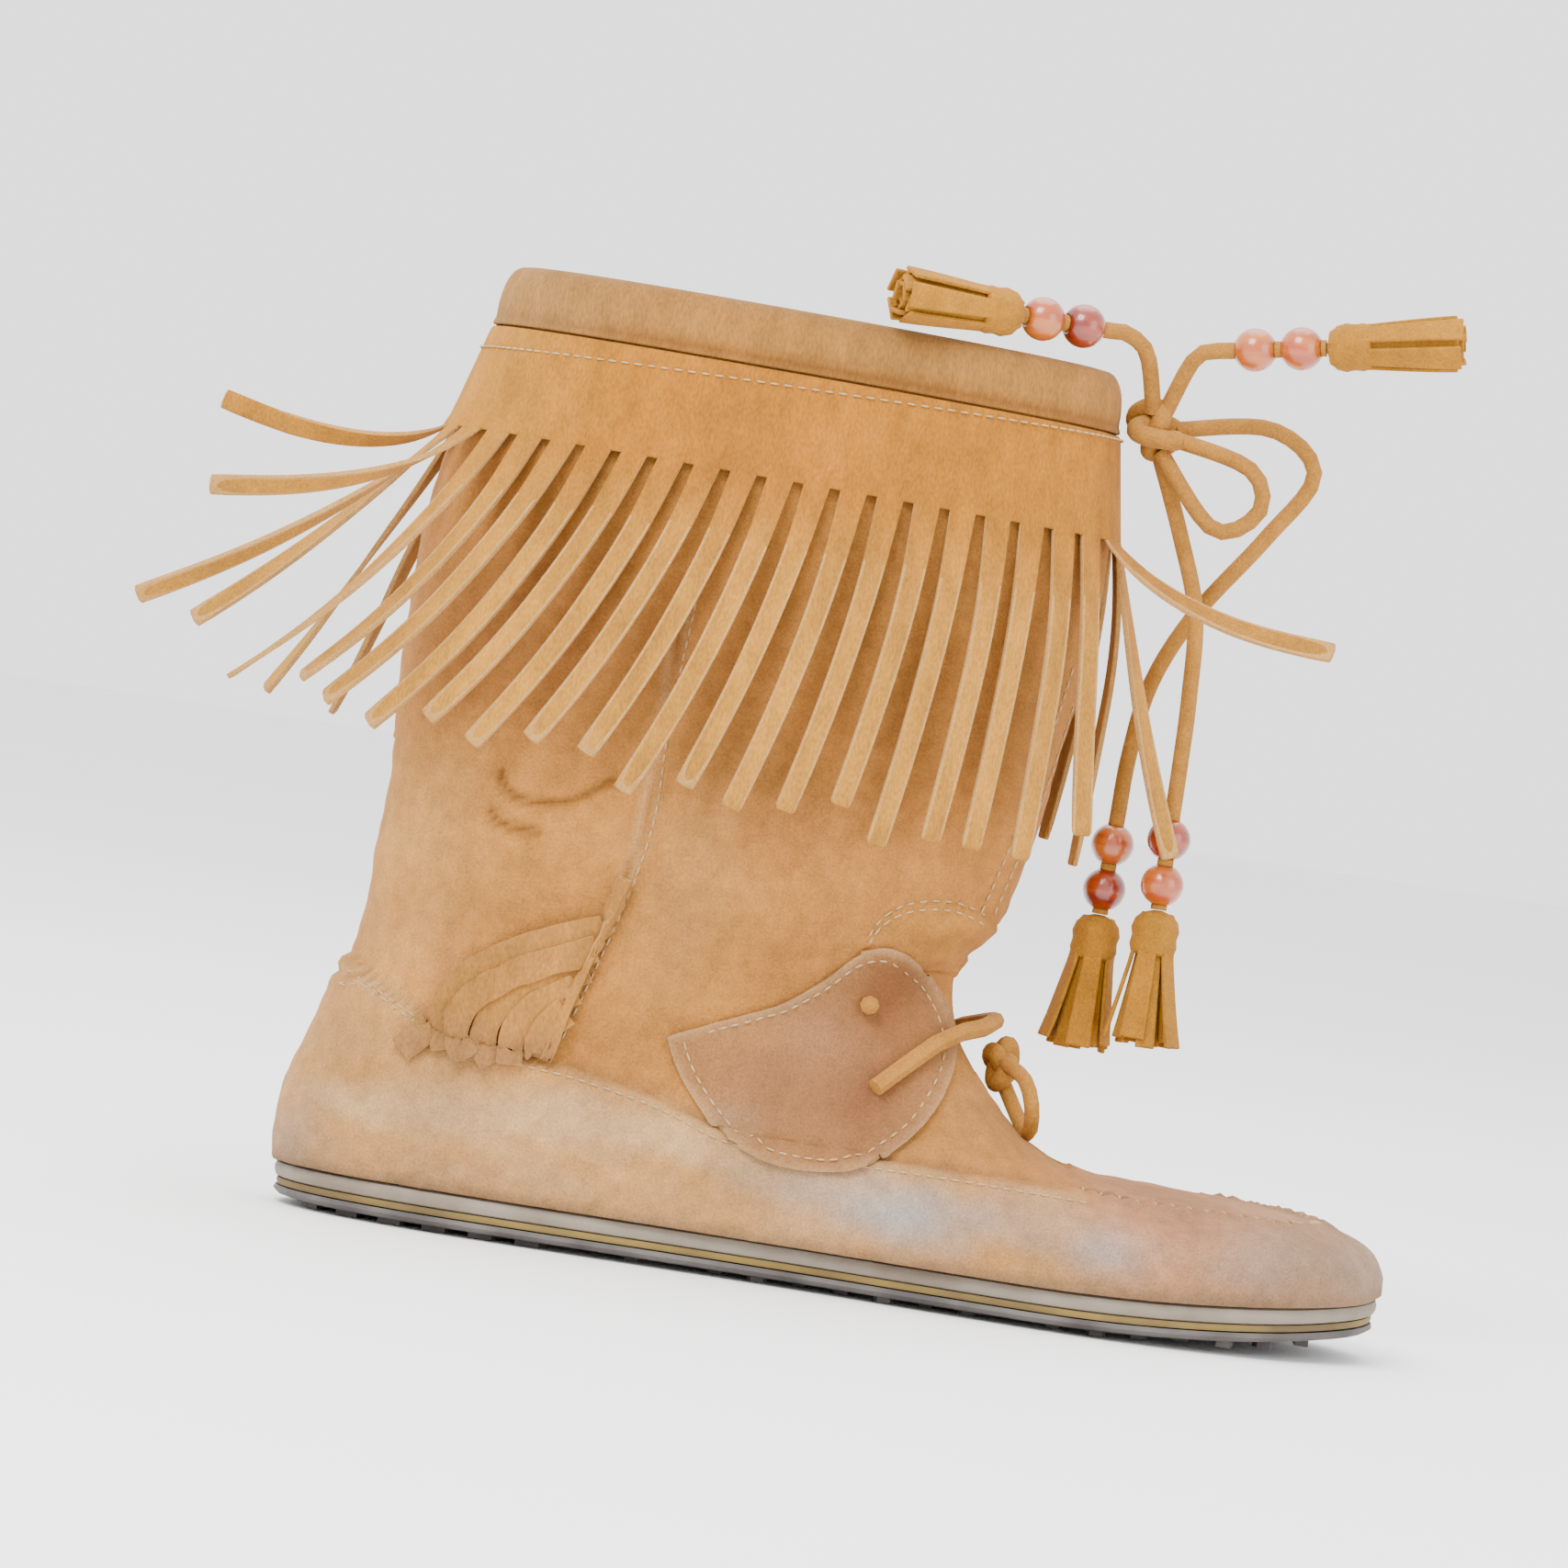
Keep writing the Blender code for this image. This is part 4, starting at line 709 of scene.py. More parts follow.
    def build_skin(self) -> bpy.types.Object:
        """Outer skin with its rand, plug, seams and folds as relief, open at collar, throat and floor."""
        spots, ways, _ = LAST.grid(self.lines, self.around)
        rise = self.relief(spots)
        top = step(np.linspace(0, 1, self.lines + 1), 0.93, 1.0)[:, None]
        rise = rise * (1.0 - top)
        bm = mapped_grid(spots + ways * rise[..., None], closed=True)
        places = np.array([v.co for v in bm.verts])
        u, w, out = self.oval(places)
        radius = np.hypot(u, w)
        ring = 0.018
        verts = list(bm.verts)
        gone = [v for v, r, o in zip(verts, radius, out) if r < 1.0 and abs(o) < ring]
        close = [(v, r) for v, r, o in zip(verts, radius, out) if 1.0 <= r < 1.075 and abs(o) < ring]
        x0 = np.array(self.oval_middle())
        for v, r in close:
            flat = Vector(x0) + (v.co - Vector(x0)) / r * 1.0
            v.co = Vector((flat.x * 0.5 + v.co.x * 0.5, flat.y, flat.z * 0.5 + v.co.z * 0.5))
        bmesh.ops.delete(bm, geom=gone, context="VERTS")
        over = {v: v.co.z - LAST.sole_height - float(LAST.spring(v.co.x + LAST.heel_rest)) for v in bm.verts}
        bmesh.ops.delete(bm, geom=[v for v in bm.verts if over[v] < -0.0030], context="VERTS")
        for v in bm.verts:
            if over[v] < 0.0002:
                v.co.z += 0.0002 - over[v]
        face_out(bm, lambda c: Vector((c.x - 0.04, c.y * 3, c.z - 0.09)))
        self.skin_tree = BVHTree.FromBMesh(bm)
        rim = [e for e in bm.edges if e.is_boundary
               and all(abs(self.oval(np.array(v.co))[2]) < ring and np.hypot(*self.oval(np.array(v.co))[:2]) < 1.2
                       for v in e.verts)]
        bm.normal_update()
        inward = {v: v.normal.copy() for e in rim for v in e.verts}
        grown = bmesh.ops.extrude_edge_only(bm, edges=rim)["geom"]
        fresh = [g for g in grown if isinstance(g, bmesh.types.BMVert)]
        old = list(inward)
        for v in fresh:
            near = min(old, key=lambda o: (o.co - v.co).length_squared)
            v.co = v.co - inward[near] * self.wall
        bmesh.ops.recalc_face_normals(bm, faces=bm.faces)
        face_out(bm, lambda c: Vector((c.x - 0.04, c.y * 3, c.z - 0.09)))
        made = as_object(bm, "upper_skin", self.wardrobe.skin)
        dye_mesh(made, self.paint)
        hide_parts("upper", "rand", "vamp_plug", "instep_tab")
        return made

    def oval_middle(self) -> Point3:
        """Middle of the throat's oval."""
        x0, x1 = 0.700 * LAST.foot, 0.572 * LAST.foot
        return ((x0 + x1) / 2 - LAST.heel_rest, 0.0,
                (float(LAST.height(x0, 0.400)) + float(LAST.height(x1, 0.960))) / 2)

    def build_lining(self) -> bpy.types.Object:
        """Inner face of the wall, with the nap of the flesh side."""
        spots, _, _ = LAST.grid(110, 120, offset=-self.wall)
        bm = mapped_grid(spots, closed=True)
        u, w, out = self.oval(np.array([v.co for v in bm.verts]))
        gone = [v for v, a, b, o in zip(bm.verts, u, w, out) if math.hypot(a, b) < 1.0 and abs(o) < 0.02]
        bmesh.ops.delete(bm, geom=gone, context="VERTS")
        low = [v for v in bm.verts
               if v.co.z < LAST.sole_height + float(LAST.spring(v.co.x + LAST.heel_rest))]
        bmesh.ops.delete(bm, geom=low, context="VERTS")
        face_out(bm, lambda c: Vector((0.04 - c.x, -c.y * 3, 0.09 - c.z)))
        made = as_object(bm, "upper_lining", self.wardrobe.lining)
        return made

    def land(self, x: float, z: float, side: Side, lift: float) -> tuple:
        """Point on the skin seen from one side, lifted off it, and its outward way."""
        start = Vector((x, side.value * 0.10, z))
        hit, normal, _, _ = self.skin_tree.ray_cast(start, Vector((0.0, -side.value, 0.0)))
        if hit is None:
            hit, normal, _, _ = self.skin_tree.find_nearest(Vector((x, side.value * 0.02, z)))
        if normal.dot(start - hit) < 0:
            normal = -normal
        return hit + normal * lift, normal

    def land_line(self, line: Sequence, side: Side, lift: float, pitch: float) -> list:
        """Even points of a side-view line laid on the skin, each with its outward way."""
        return [self.land(p[0], p[1], side, lift) for p in route_points(line, pitch)]

    def build_flap(self, side: Side, name: str, node: str) -> bpy.types.Object:
        """Ear flap cut from smooth leather and laid on the skin."""
        edge = route_points(list(FLAP_EDGE) + [FLAP_EDGE[0]], 0.0013)[:-1]
        bm = bmesh.new()
        loop = [bm.verts.new((p[0], 0.0, p[1])) for p in edge]
        bm.faces.new(loop)
        lows, highs = edge.min(axis=0), edge.max(axis=0)
        for axis, index in ((Vector((1, 0, 0)), 0), (Vector((0, 0, 1)), 1)):
            for k in range(1, int((highs[index] - lows[index]) / 0.0016)):
                geometry = bm.verts[:] + bm.edges[:] + bm.faces[:]
                bmesh.ops.bisect_plane(bm, geom=geometry, plane_co=axis * (lows[index] + k * 0.0016), plane_no=axis)
        away = {v: float(line_distance(np.array(v.co.x), np.array(v.co.z), np.vstack([edge, edge[:1]]))[0])
                for v in bm.verts}
        for v in list(bm.verts):
            wave = 0.0002 * math.sin(v.co.x * 300) * math.sin(v.co.z * 260)
            dome = 0.0005 * (1.0 - math.exp(-away[v] / 0.002)) + wave
            stitch = -0.0005 * math.exp(-((away[v] - 0.0026) / 0.0006) ** 2)
            v.co, _ = self.land(v.co.x, v.co.z, side, 0.0004 + dome + stitch)
        face_out(bm, lambda c: Vector((0.0, side.value, 0.0)))
        made = as_object(bm, name, self.wardrobe.flap)
        modify(made, "SOLIDIFY", thickness=0.0011, offset=1.0, use_even_offset=False)
        modify(made, "BEVEL", width=0.0004, segments=2, limit_method="ANGLE", angle_limit=math.radians(50))

        def painter(spots: np.ndarray) -> np.ndarray:
            """Brown, darker and glossy in the middle, pale at the rubbed rim."""
            x, z = spots[:, 0], spots[:, 2]
            tone = np.tile(np.array(FLAP_BROWN), (len(spots), 1))
            for px, pz, wide, tall, colour, weight in (
                    (0.0636, 0.0461, 0.012, 0.010, shade(166, 124, 98), 0.7),
                    (0.0880, 0.0670, 0.008, 0.010, shade(146, 100, 74), 0.9),
                    (0.0853, 0.0440, 0.009, 0.010, shade(150, 106, 82), 0.85),
                    (0.0600, 0.0560, 0.012, 0.004, shade(194, 148, 112), 0.7),
                    (0.0740, 0.0560, 0.008, 0.006, shade(190, 148, 122), 0.5),
                    (0.0560, 0.0360, 0.008, 0.004, shade(190, 160, 134), 0.5)):
                share = (weight * np.exp(-((x - px) / wide) ** 2 - ((z - pz) / tall) ** 2))[:, None]
                tone = tone * (1 - share) + np.array(colour) * share
            rim, _ = line_distance(x, z, np.vstack([edge, edge[:1]]))
            share = (0.75 * np.exp(-rim / 0.0009))[:, None]
            return tone * (1 - share) + np.array(shade(216, 180, 146)) * share

        dye_mesh(made, painter)
        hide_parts(node)
        return made

    def build_side_fringe(self) -> bpy.types.Object:
        """Short strips from the quarter seam, pressed flat and swept down to the back."""
        routes = (
            ((-0.0010, 0.0640), (-0.0062, 0.0548), (-0.0121, 0.0467), (-0.0187, 0.0400)),
            ((0.0223, 0.0737), (0.0052, 0.0670), (-0.0066, 0.0579), (-0.0104, 0.0490), (-0.0089, 0.0415)),
            ((0.0214, 0.0695), (0.0059, 0.0619), (-0.0041, 0.0541), (-0.0070, 0.0464), (-0.0042, 0.0402)),
            ((0.0201, 0.0646), (0.0075, 0.0575), (0.0005, 0.0507), (-0.0006, 0.0443), (0.0019, 0.0401)),
            ((0.0183, 0.0596), (0.0100, 0.0542), (0.0060, 0.0474), (0.0058, 0.0407)),
            ((0.0166, 0.0542), (0.0127, 0.0495), (0.0116, 0.0426)),
            ((0.0262, 0.0860), (0.0236, 0.0765), (0.0196, 0.0640), (0.0150, 0.0480), (0.0138, 0.0430)),
        )
        bm = bmesh.new()
        for number, route in enumerate(routes):
            line = route_points(route, 0.0012)
            count = len(line)
            rows = []
            for k, spot in enumerate(line):
                along = line[min(k + 1, count - 1)] - line[max(k - 1, 0)]
                along /= np.linalg.norm(along)
                across = np.array([-along[1], along[0]])
                seam = number == len(routes) - 1
                wide = 0.0013 if seam else 0.0034 * (1.0 - 0.18 * k / count)
                lift = 0.0026 if seam else 0.0004 + 0.0006 * (number % 3) + 0.0010 * math.sin(math.pi * k / count)
                row = []
                for c in range(7):
                    t = (c / 6 - 0.5) * 2
                    place = spot + across * wide * t
                    row.append(self.land(place[0], place[1], Side.OUTER, lift + 0.0005 * (1 - t) * 0.5)[0])
                rows.append(row)
            strip = mapped_grid(np.array([[tuple(p) for p in row] for row in rows]), closed=False)
            face_out(strip, lambda c: Vector((0.0, -1.0, 0.0)))
            temporary = bpy.data.meshes.new("strip")
            strip.to_mesh(temporary)
            strip.free()
            bm.from_mesh(temporary)
            bpy.data.meshes.remove(temporary)
        made = as_object(bm, "side_fringe_strips", self.wardrobe.fringe, self.wardrobe.cut)
        # The strips' side rims take the cut-edge material, partly a painted highlight along their edges
        modify(made, "SOLIDIFY", thickness=0.0011, offset=1.0, material_offset_rim=1)
        modify(made, "BEVEL", width=0.0003, segments=2, limit_method="ANGLE", angle_limit=math.radians(50))

        def painter(spots: np.ndarray) -> np.ndarray:
            """Brown strips, paler towards their folded tops and dirty at their ends."""
            low = step(0.052 - spots[:, 2], 0.0, 0.010)[:, None] * 0.55
            tone = np.tile(np.array(shade(192, 146, 104)), (len(spots), 1))
            return tone * (1 - low) + np.array(shade(162, 130, 104)) * low

        dye_mesh(made, painter)
        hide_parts("side_fringe")
        return made

    def dress_inside(self, nodes: dict) -> None:
        """Give the tongue and insole their finish."""
        for node, material in (("tongue", self.wardrobe.tongue), ("insole", self.wardrobe.insole)):
            nodes[node].material_slots[0].material = material


@dataclass
class Stitching:
    """Rows of thread stitches as one joined piece."""

    wardrobe: Wardrobe
    length: float = 0.0021
    pitch: float = 0.0029
    thick: float = 0.0005

    def __post_init__(self) -> None:
        """Start the joined mesh."""
        self.bm = bmesh.new()

    def run(self, points: list) -> None:
        """Lay a row of stitches between the even points, each given with its outward way."""
        for (a, normal), (b, _) in zip(points[:-1], points[1:]):
            along = b - a
            if along.length < 1e-5 or along.length > self.pitch * 3:
                continue
            along.normalize()
            out = (normal - along * normal.dot(along)).normalized()
            across = along.cross(out)
            turn = Matrix((along, across, out)).transposed().to_4x4()
            size = Matrix.Diagonal((self.length / 2, self.thick / 2, self.thick / 2, 1.0))
            place = Matrix.Translation((a + b) / 2)
            bmesh.ops.create_icosphere(self.bm, subdivisions=2, radius=1.0, matrix=place @ turn @ size)

    def finish(self, name: str) -> bpy.types.Object:
        """Turn the rows into one piece."""
        made = as_object(self.bm, name, self.wardrobe.thread)
        return made


@dataclass
class Collar:
    """Rolled band at the boot's mouth."""

    wardrobe: Wardrobe
    band: float = 0.012
    roll: float = 0.0016
    wall: float = 0.0020
    gap: float = 0.0003
    around: int = 240

    def ways(self, angles: np.ndarray, edge: np.ndarray) -> np.ndarray:
        """Level outward ways of the collar's edge."""
        along = np.roll(edge, -1, axis=0) - np.roll(edge, 1, axis=0)
        out = np.stack([along[:, 1], -along[:, 0], np.zeros(len(edge))], axis=1)
        out /= np.linalg.norm(out, axis=1, keepdims=True)
        middle = edge.mean(axis=0)
        sign = np.sign(((edge - middle) * out).sum(axis=1, keepdims=True))
        return out * sign

    def build(self) -> bpy.types.Object:
        """Build the band from its rolled profile."""
        last_row = len(LAST.rows) - 1
        angles = math.tau * np.arange(self.around) / self.around
        edge = LAST.skin(np.full(self.around, float(last_row)), angles)
        below = LAST.skin(np.full(self.around, last_row - 0.94), angles)
        slope = below - edge
        slope = slope / np.abs(slope[:, 2:3])
        out = self.ways(angles, edge)
        gap, roll, inside = self.gap, self.roll, self.wall + self.gap
        profile = [(gap - 0.0002, 1.0), (gap + roll * 1.05, 1.02), (gap + roll * 1.02, 0.94), (gap + roll * 0.80, 0.86),
                   (gap + roll * 0.95, 0.78), (gap + roll * 1.20, 0.62), (gap + roll * 1.30, 0.42),
                   (gap + roll * 1.35, 0.22), (gap + roll * 1.05, 0.05), (gap + roll * 0.55, -0.10),
                   (-inside * 0.4, -0.16), (-inside - roll * 0.5, -0.10), (-inside - roll, 0.08),
                   (-inside - roll, 0.45), (-inside - roll * 0.9, 0.78), (-inside, 0.82), (-inside + 0.0002, 0.80)]
        rows = []
        for reach, down in profile:
            wobble = 0.00035 * np.sin(angles * 7 + 1.3) * np.sin(angles * 3) + 0.0002 * np.sin(angles * 23 + down * 2)
            rows.append(edge + slope * (down * self.band) + out * (reach + wobble[:, None] * (reach > gap)))
        bm = mapped_grid(np.array(rows), closed=True)
        bmesh.ops.recalc_face_normals(bm, faces=bm.faces)
        face_out(bm, lambda c: Vector((c.x - 0.045, c.y * 3, 0.0)) if Vector((c.x - 0.045, c.y)).length > 0 else c)
        made = as_object(bm, "collar_roll", self.wardrobe.collar)
        modify(made, "SUBSURF", levels=1, render_levels=1)

        def painter(spots: np.ndarray) -> np.ndarray:
            """Greyish brown, with painted shade in the groove under the roll, and rubbed on its top."""
            x, z = spots[:, 0], spots[:, 2]
            rim = np.interp(x, edge[np.argsort(edge[:, 0]), 0], edge[np.argsort(edge[:, 0]), 2])
            down = rim - z
            tone = np.tile(np.array(COLLAR), (len(spots), 1))
            for share, colour in ((0.5 * (1 - step(down, -0.001, 0.002)), shade(164, 130, 98)),
                                  # Painted shade in the groove under the roll
                                  (0.75 * np.exp(-((down - 0.0106) / 0.0012) ** 2), shade(140, 94, 60)),
                                  (0.5 * np.exp(-((down - 0.0050) / 0.0020) ** 2) * (0.5 + 0.5 * np.sin(x * 110)),
                                   shade(196, 154, 112)),
                                  (0.5 * step(-x, -0.02, 0.02), shade(190, 156, 118))):
                share = share[:, None]
                tone = tone * (1 - share) + np.array(colour) * share
            return tone

        dye_mesh(made, painter)
        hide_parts("collar_band")
        return made


@dataclass
class Fringe:
    """Yoke and its cut strips, rounded and split into nap and a lighter cut edge, with a painted highlight rimming the
    strips' fronts.
    """

    wardrobe: Wardrobe
    strip_width: float = 0.0052
    cut_width: float = 0.0016

    def build(self, node: bpy.types.Object) -> bpy.types.Object:
        """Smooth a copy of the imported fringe.

        Args:
            node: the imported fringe.

        Returns:
            The piece that stands for it.
        """
        bm = bmesh.new()
        bm.from_mesh(node.data)
        bmesh.ops.remove_doubles(bm, verts=bm.verts, dist=2e-6)
        bmesh.ops.join_triangles(bm, faces=bm.faces, angle_face_threshold=0.9, angle_shape_threshold=1.2)
        bmesh.ops.recalc_face_normals(bm, faces=bm.faces)
        bm.normal_update()
        crease = bm.edges.layers.float.new("crease_edge")
        for edge in bm.edges:
            if len(edge.link_faces) == 2 and edge.calc_face_angle(0.0) > math.radians(48):
                edge[crease] = 0.78
        for face in bm.faces:
            spans = sorted(e.calc_length() for e in face.edges)
            low = min(v.co.z for v in face.verts)
            if spans[0] < self.cut_width and spans[-1] > 0.004 and low < 0.178 and abs(face.normal.z) < 0.95:
                face.material_index = 1
        # Inset rim round the front of each strip below the yoke, given the light cut-edge material as a painted
        # highlight along the strip's edges
        wide = [f for f in bm.faces if f.material_index == 0 and max(v.co.z for v in f.verts) < 0.1815]
        highlight_rims = bmesh.ops.inset_region(bm, faces=wide, thickness=0.0005, use_even_offset=True)["faces"]
        for face in highlight_rims:
            if face.calc_center_median().z < 0.170:
                face.material_index = 1
        made = as_object(bm, "fringe_strips", self.wardrobe.fringe, self.wardrobe.cut)
        modify(made, "SUBSURF", levels=2, render_levels=2)

        def painter(spots: np.ndarray) -> np.ndarray:
            """Warm brown yoke, lighter strips and paler tips."""
            x, z = spots[:, 0], spots[:, 2]
            down = step(0.186 - z, 0.0, 0.035)[:, None]
            tone = np.array(shade(196, 140, 92)) * (1 - down) + np.array(shade(214, 164, 112)) * down
            patch = (0.5 * np.exp(-((x - 0.045) / 0.022) ** 2 - ((z - 0.186) / 0.012) ** 2))[:, None]
            tone = tone * (1 - patch) + np.array(shade(196, 134, 92)) * patch
            turn = np.arctan2(spots[:, 1], x - 0.045)
            each = 0.10 * np.sin(turn * 31 + 2.0 * np.sin(turn * 9))[:, None] * down
            tone = tone * (1 - each)
            back = (0.5 * step(-x, -0.01, 0.02))[:, None]
            return tone * (1 - back) + np.array(shade(222, 172, 116)) * back

        dye_mesh(made, painter)
        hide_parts("fringe")
        return made


@dataclass
class Sole:
    """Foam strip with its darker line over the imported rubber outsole."""

    wardrobe: Wardrobe
    rubber: float = 0.0037
    line: float = 0.0018
    strip: float = 0.0040
    gap: float = 0.0003

    def ring(self, inset: float, z: float) -> np.ndarray:
        """Ring of points round the sole at an inset and height."""
        base = LAST.outline(0.0, 9)
        loop = LAST.outline(inset, 9)
        rise = LAST.spring(base[:, 0])
        return np.stack([loop[:, 0] - LAST.heel_rest, loop[:, 1], z + rise], axis=1)

    def build(self, nodes: dict) -> None:
        """Build the line and the strip, and dress the outsole."""
        low = self.rubber + self.gap
        mid = self.rubber + self.line
        top = mid + self.strip
        self.slab("midsole_line", self.wardrobe.line,
                  [(0.0040, low), (0.0008, low), (0.0005, (low + mid) / 2), (0.0007, mid), (0.0040, mid)])
        made = self.slab("midsole_strip", self.wardrobe.strip,
                         [(0.0040, mid + 0.0001), (0.0012, mid + 0.0001), (0.0002, mid + 0.0005),
                          (-0.0002, mid + 0.0014), (-0.0003, top - 0.0016), (0.0001, top - 0.0005),
                          (0.0012, top), (0.0080, top)])
        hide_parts("midsole")
        nodes["outsole"].material_slots[0].material = self.wardrobe.rubber

    def slab(self, name: str, material: bpy.types.Material, rings: list) -> bpy.types.Object:
        """Closed slab through rings of inset and height."""
        bm = mapped_grid(np.array([self.ring(inset, z) for inset, z in rings]), closed=True)
        bmesh.ops.holes_fill(bm, edges=[e for e in bm.edges if e.is_boundary], sides=0)
        bmesh.ops.triangulate(bm, faces=[f for f in bm.faces if len(f.verts) > 4])
        bmesh.ops.recalc_face_normals(bm, faces=bm.faces)
        made = as_object(bm, name, material)
        made.data.set_sharp_from_angle(angle=math.radians(40))
        return made


@dataclass
class Tie:
    """Collar thong, ankle lace, knots, beads and tassels."""

    wardrobe: Wardrobe
    thong: float = 0.0038
    lace: float = 0.0042
    bead: float = 0.0100
    gap: float = 0.0003
    tuck: float = 0.0022
    tassel: float = 0.031
    tassel_wide: float = 0.011
    rim: tuple = ((0.675, -0.070, 0.985), (0.666, -0.125, 1.022), (0.645, -0.165, 1.039), (0.626, -0.191, 1.039))
    front: tuple = ((0.697, -0.050, 0.985), (0.706, -0.090, 1.018), (0.718, -0.115, 1.034), (0.738, -0.125, 1.038))
    long: tuple = ((0.724, 0.040, 0.955), (0.790, 0.060, 0.966), (0.835, 0.085, 0.925), (0.800, 0.110, 0.850),
                   (0.748, 0.135, 0.760), (0.718, 0.150, 0.680), (0.708, 0.155, 0.600), (0.706, 0.155, 0.530))
    short: tuple = ((0.698, 0.010, 0.896), (0.722, 0.026, 0.840), (0.746, 0.036, 0.760), (0.752, 0.044, 0.670),
                    (0.753, 0.046, 0.600), (0.753, 0.046, 0.545))
    loop: tuple = ((0.725, -0.070, 0.930), (0.772, -0.120, 0.918), (0.786, -0.120, 0.875), (0.748, -0.090, 0.850),
                   (0.700, -0.060, 0.900))
    ankle: tuple = ((0.640, -0.110, 0.262), (0.654, -0.175, 0.246), (0.664, -0.185, 0.214), (0.662, -0.120, 0.190),
                    (0.644, -0.045, 0.200))
    collar_middle: Point3 = (0.6855, -0.010, 0.945)

    def place(self, point: Sequence[float]) -> Vector:
        """Point of shares in metres in the part's frame."""
        return Vector((point[0] * LAST.foot - LAST.heel_rest, point[1] * LAST.ball, point[2] * LAST.collar_height))

    def seated(self, route: Sequence, node: bpy.types.Object, middle: Vector, both: bool) -> list:
        """Route's points, its ends tucked into a knot."""
        points = [self.place(p) for p in route]
        bm = bmesh.new()
        bm.from_mesh(node.data)
        tree = BVHTree.FromBMesh(bm)
        bm.free()
        for end in (0, -1) if both else (0,):
            way = (points[end] - middle).normalized()
            hit = tree.ray_cast(middle + way * 0.1, -way)[0]
            points[end] = hit - way * self.tuck
        return points

    def cord(self, name: str, points: list, diameter: float) -> tuple:
        """Thong as one open curve along a smooth route, and its even points."""
        route = [Vector(p) for p in route_points([tuple(p) for p in points], 0.9 * diameter)]
        curve = bpy.data.curves.new(name, "CURVE")
        curve.dimensions = "3D"
        curve.bevel_depth = diameter / 2
        curve.bevel_resolution = 4
        curve.resolution_u = 1
        curve.use_fill_caps = True
        spline = curve.splines.new("POLY")
        spline.points.add(len(route) - 1)
        for point, spot in zip(spline.points, route):
            point.co = (*spot, 1.0)
        curve.materials.append(self.wardrobe.thong)
        made = bpy.data.objects.new(name, curve)
        bpy.context.scene.collection.objects.link(made)
        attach(made, "root")
        return made, route

    def declare(self, made: bpy.types.Object, route: list, diameter: float) -> None:
        """Log a free thong's real length."""
        length = sum((b - a).length for a, b in zip(route, route[1:]))
        tuple(route[0])
        LOG.info("%s: %.1f mm long", made.name, length * 1000)

    def wooden_bead(self, name: str, spot: Vector, way: Vector, red: bool) -> bpy.types.Object:
        """Turned bead with its bore."""
        bm = bmesh.new()
        ball, bore = self.bead / 2, self.thong / 2 + self.gap * 0.4
        end = math.asin(bore / ball)
        ring = [bm.verts.new((ball * math.sin(t), 0.0, -ball * math.cos(t)))
                for t in np.linspace(end, math.pi - end, 13)]
        ring += [bm.verts.new((bore * 0.98, 0.0, z * ball)) for z in (0.5, 0.0, -0.5)]
        edges = [bm.edges.new((a, b)) for a, b in zip(ring, ring[1:] + ring[:1])]
        bmesh.ops.spin(bm, geom=ring + edges, cent=(0, 0, 0), axis=(0, 0, 1), angle=math.tau, steps=28,
                       use_merge=True)
        bmesh.ops.remove_doubles(bm, verts=bm.verts, dist=1e-6)
        bmesh.ops.recalc_face_normals(bm, faces=bm.faces)
        bmesh.ops.transform(bm, matrix=Matrix.Translation(spot) @ way.to_track_quat("Z", "Y").to_matrix().to_4x4(),
                            verts=bm.verts)
        made = as_object(bm, name + "_wood", self.wardrobe.beads[1 if red else 0])
        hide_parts(name)
        return made

    def suede_tassel(self, name: str, spot: Vector, way: Vector, spread: float) -> bpy.types.Object:
        """Bound head and cut strips of a tassel."""
        bm = bmesh.new()
        turn = Matrix.Translation(spot) @ way.to_track_quat("Z", "Y").to_matrix().to_4x4()
        head = self.tassel_wide / 2
        for k in range(15):
            layer = k % 3
            angle = math.tau * k / 15 + 0.35 * layer
            wave = math.sin(5.1 * k)
            reach = head * (0.98 - 0.26 * layer)
            flare = head * spread * (1.0 + 0.35 * wave) * (1.0 - 0.25 * layer)
            wide = 0.0016 if layer else 0.0021
            length = self.tassel * (0.97 + 0.03 * math.sin(7.7 * k))
            middle = [(reach * 0.62, 0.0), (reach * 0.92, 0.0030), (reach * 0.90, 0.0090),
                      (reach * 0.95 + flare * 0.25, 0.0160), (reach + flare * 0.62, 0.0240), (reach + flare, length)]
            line = route_points(middle, 0.0026)
            rows = []
            for n, (out, down) in enumerate(line):
                t = n / (len(line) - 1)
                across = wide * (0.85 + 0.55 * t)
                bow = 0.0006 * math.sin(3.0 * t + k)
                rows.append([(out * math.cos(angle) - a * math.sin(angle + bow * 90),
                              out * math.sin(angle) + a * math.cos(angle + bow * 90), down)
                             for a in (-across, 0.0, across)])
            strip = mapped_grid(np.array(rows), closed=False)
            face_out(strip, lambda c, q=angle: Vector((math.cos(q), math.sin(q), 0.0)))
            shell = bmesh.ops.solidify(strip, geom=strip.faces[:], thickness=0.0010)
            del shell
            bmesh.ops.recalc_face_normals(strip, faces=strip.faces)
            temporary = bpy.data.meshes.new("strip")
            strip.to_mesh(temporary)
            strip.free()
            bm.from_mesh(temporary)
            bpy.data.meshes.remove(temporary)
        wrap = [(0.0012, -0.0004), (0.0036, 0.0004), (0.0050, 0.0018), (0.0056, 0.0040), (0.0052, 0.0058), (0.0055, 0.0078),
                (0.0050, 0.0096), (0.0040, 0.0100)]
        ring = [bm.verts.new((r, 0.0, z)) for r, z in wrap]
        edges = [bm.edges.new((a, b)) for a, b in zip(ring, ring[1:])]
        bmesh.ops.spin(bm, geom=ring + edges, cent=(0, 0, 0), axis=(0, 0, 1), angle=math.tau, steps=20,
                       use_merge=True)
        bmesh.ops.transform(bm, matrix=turn, verts=bm.verts)
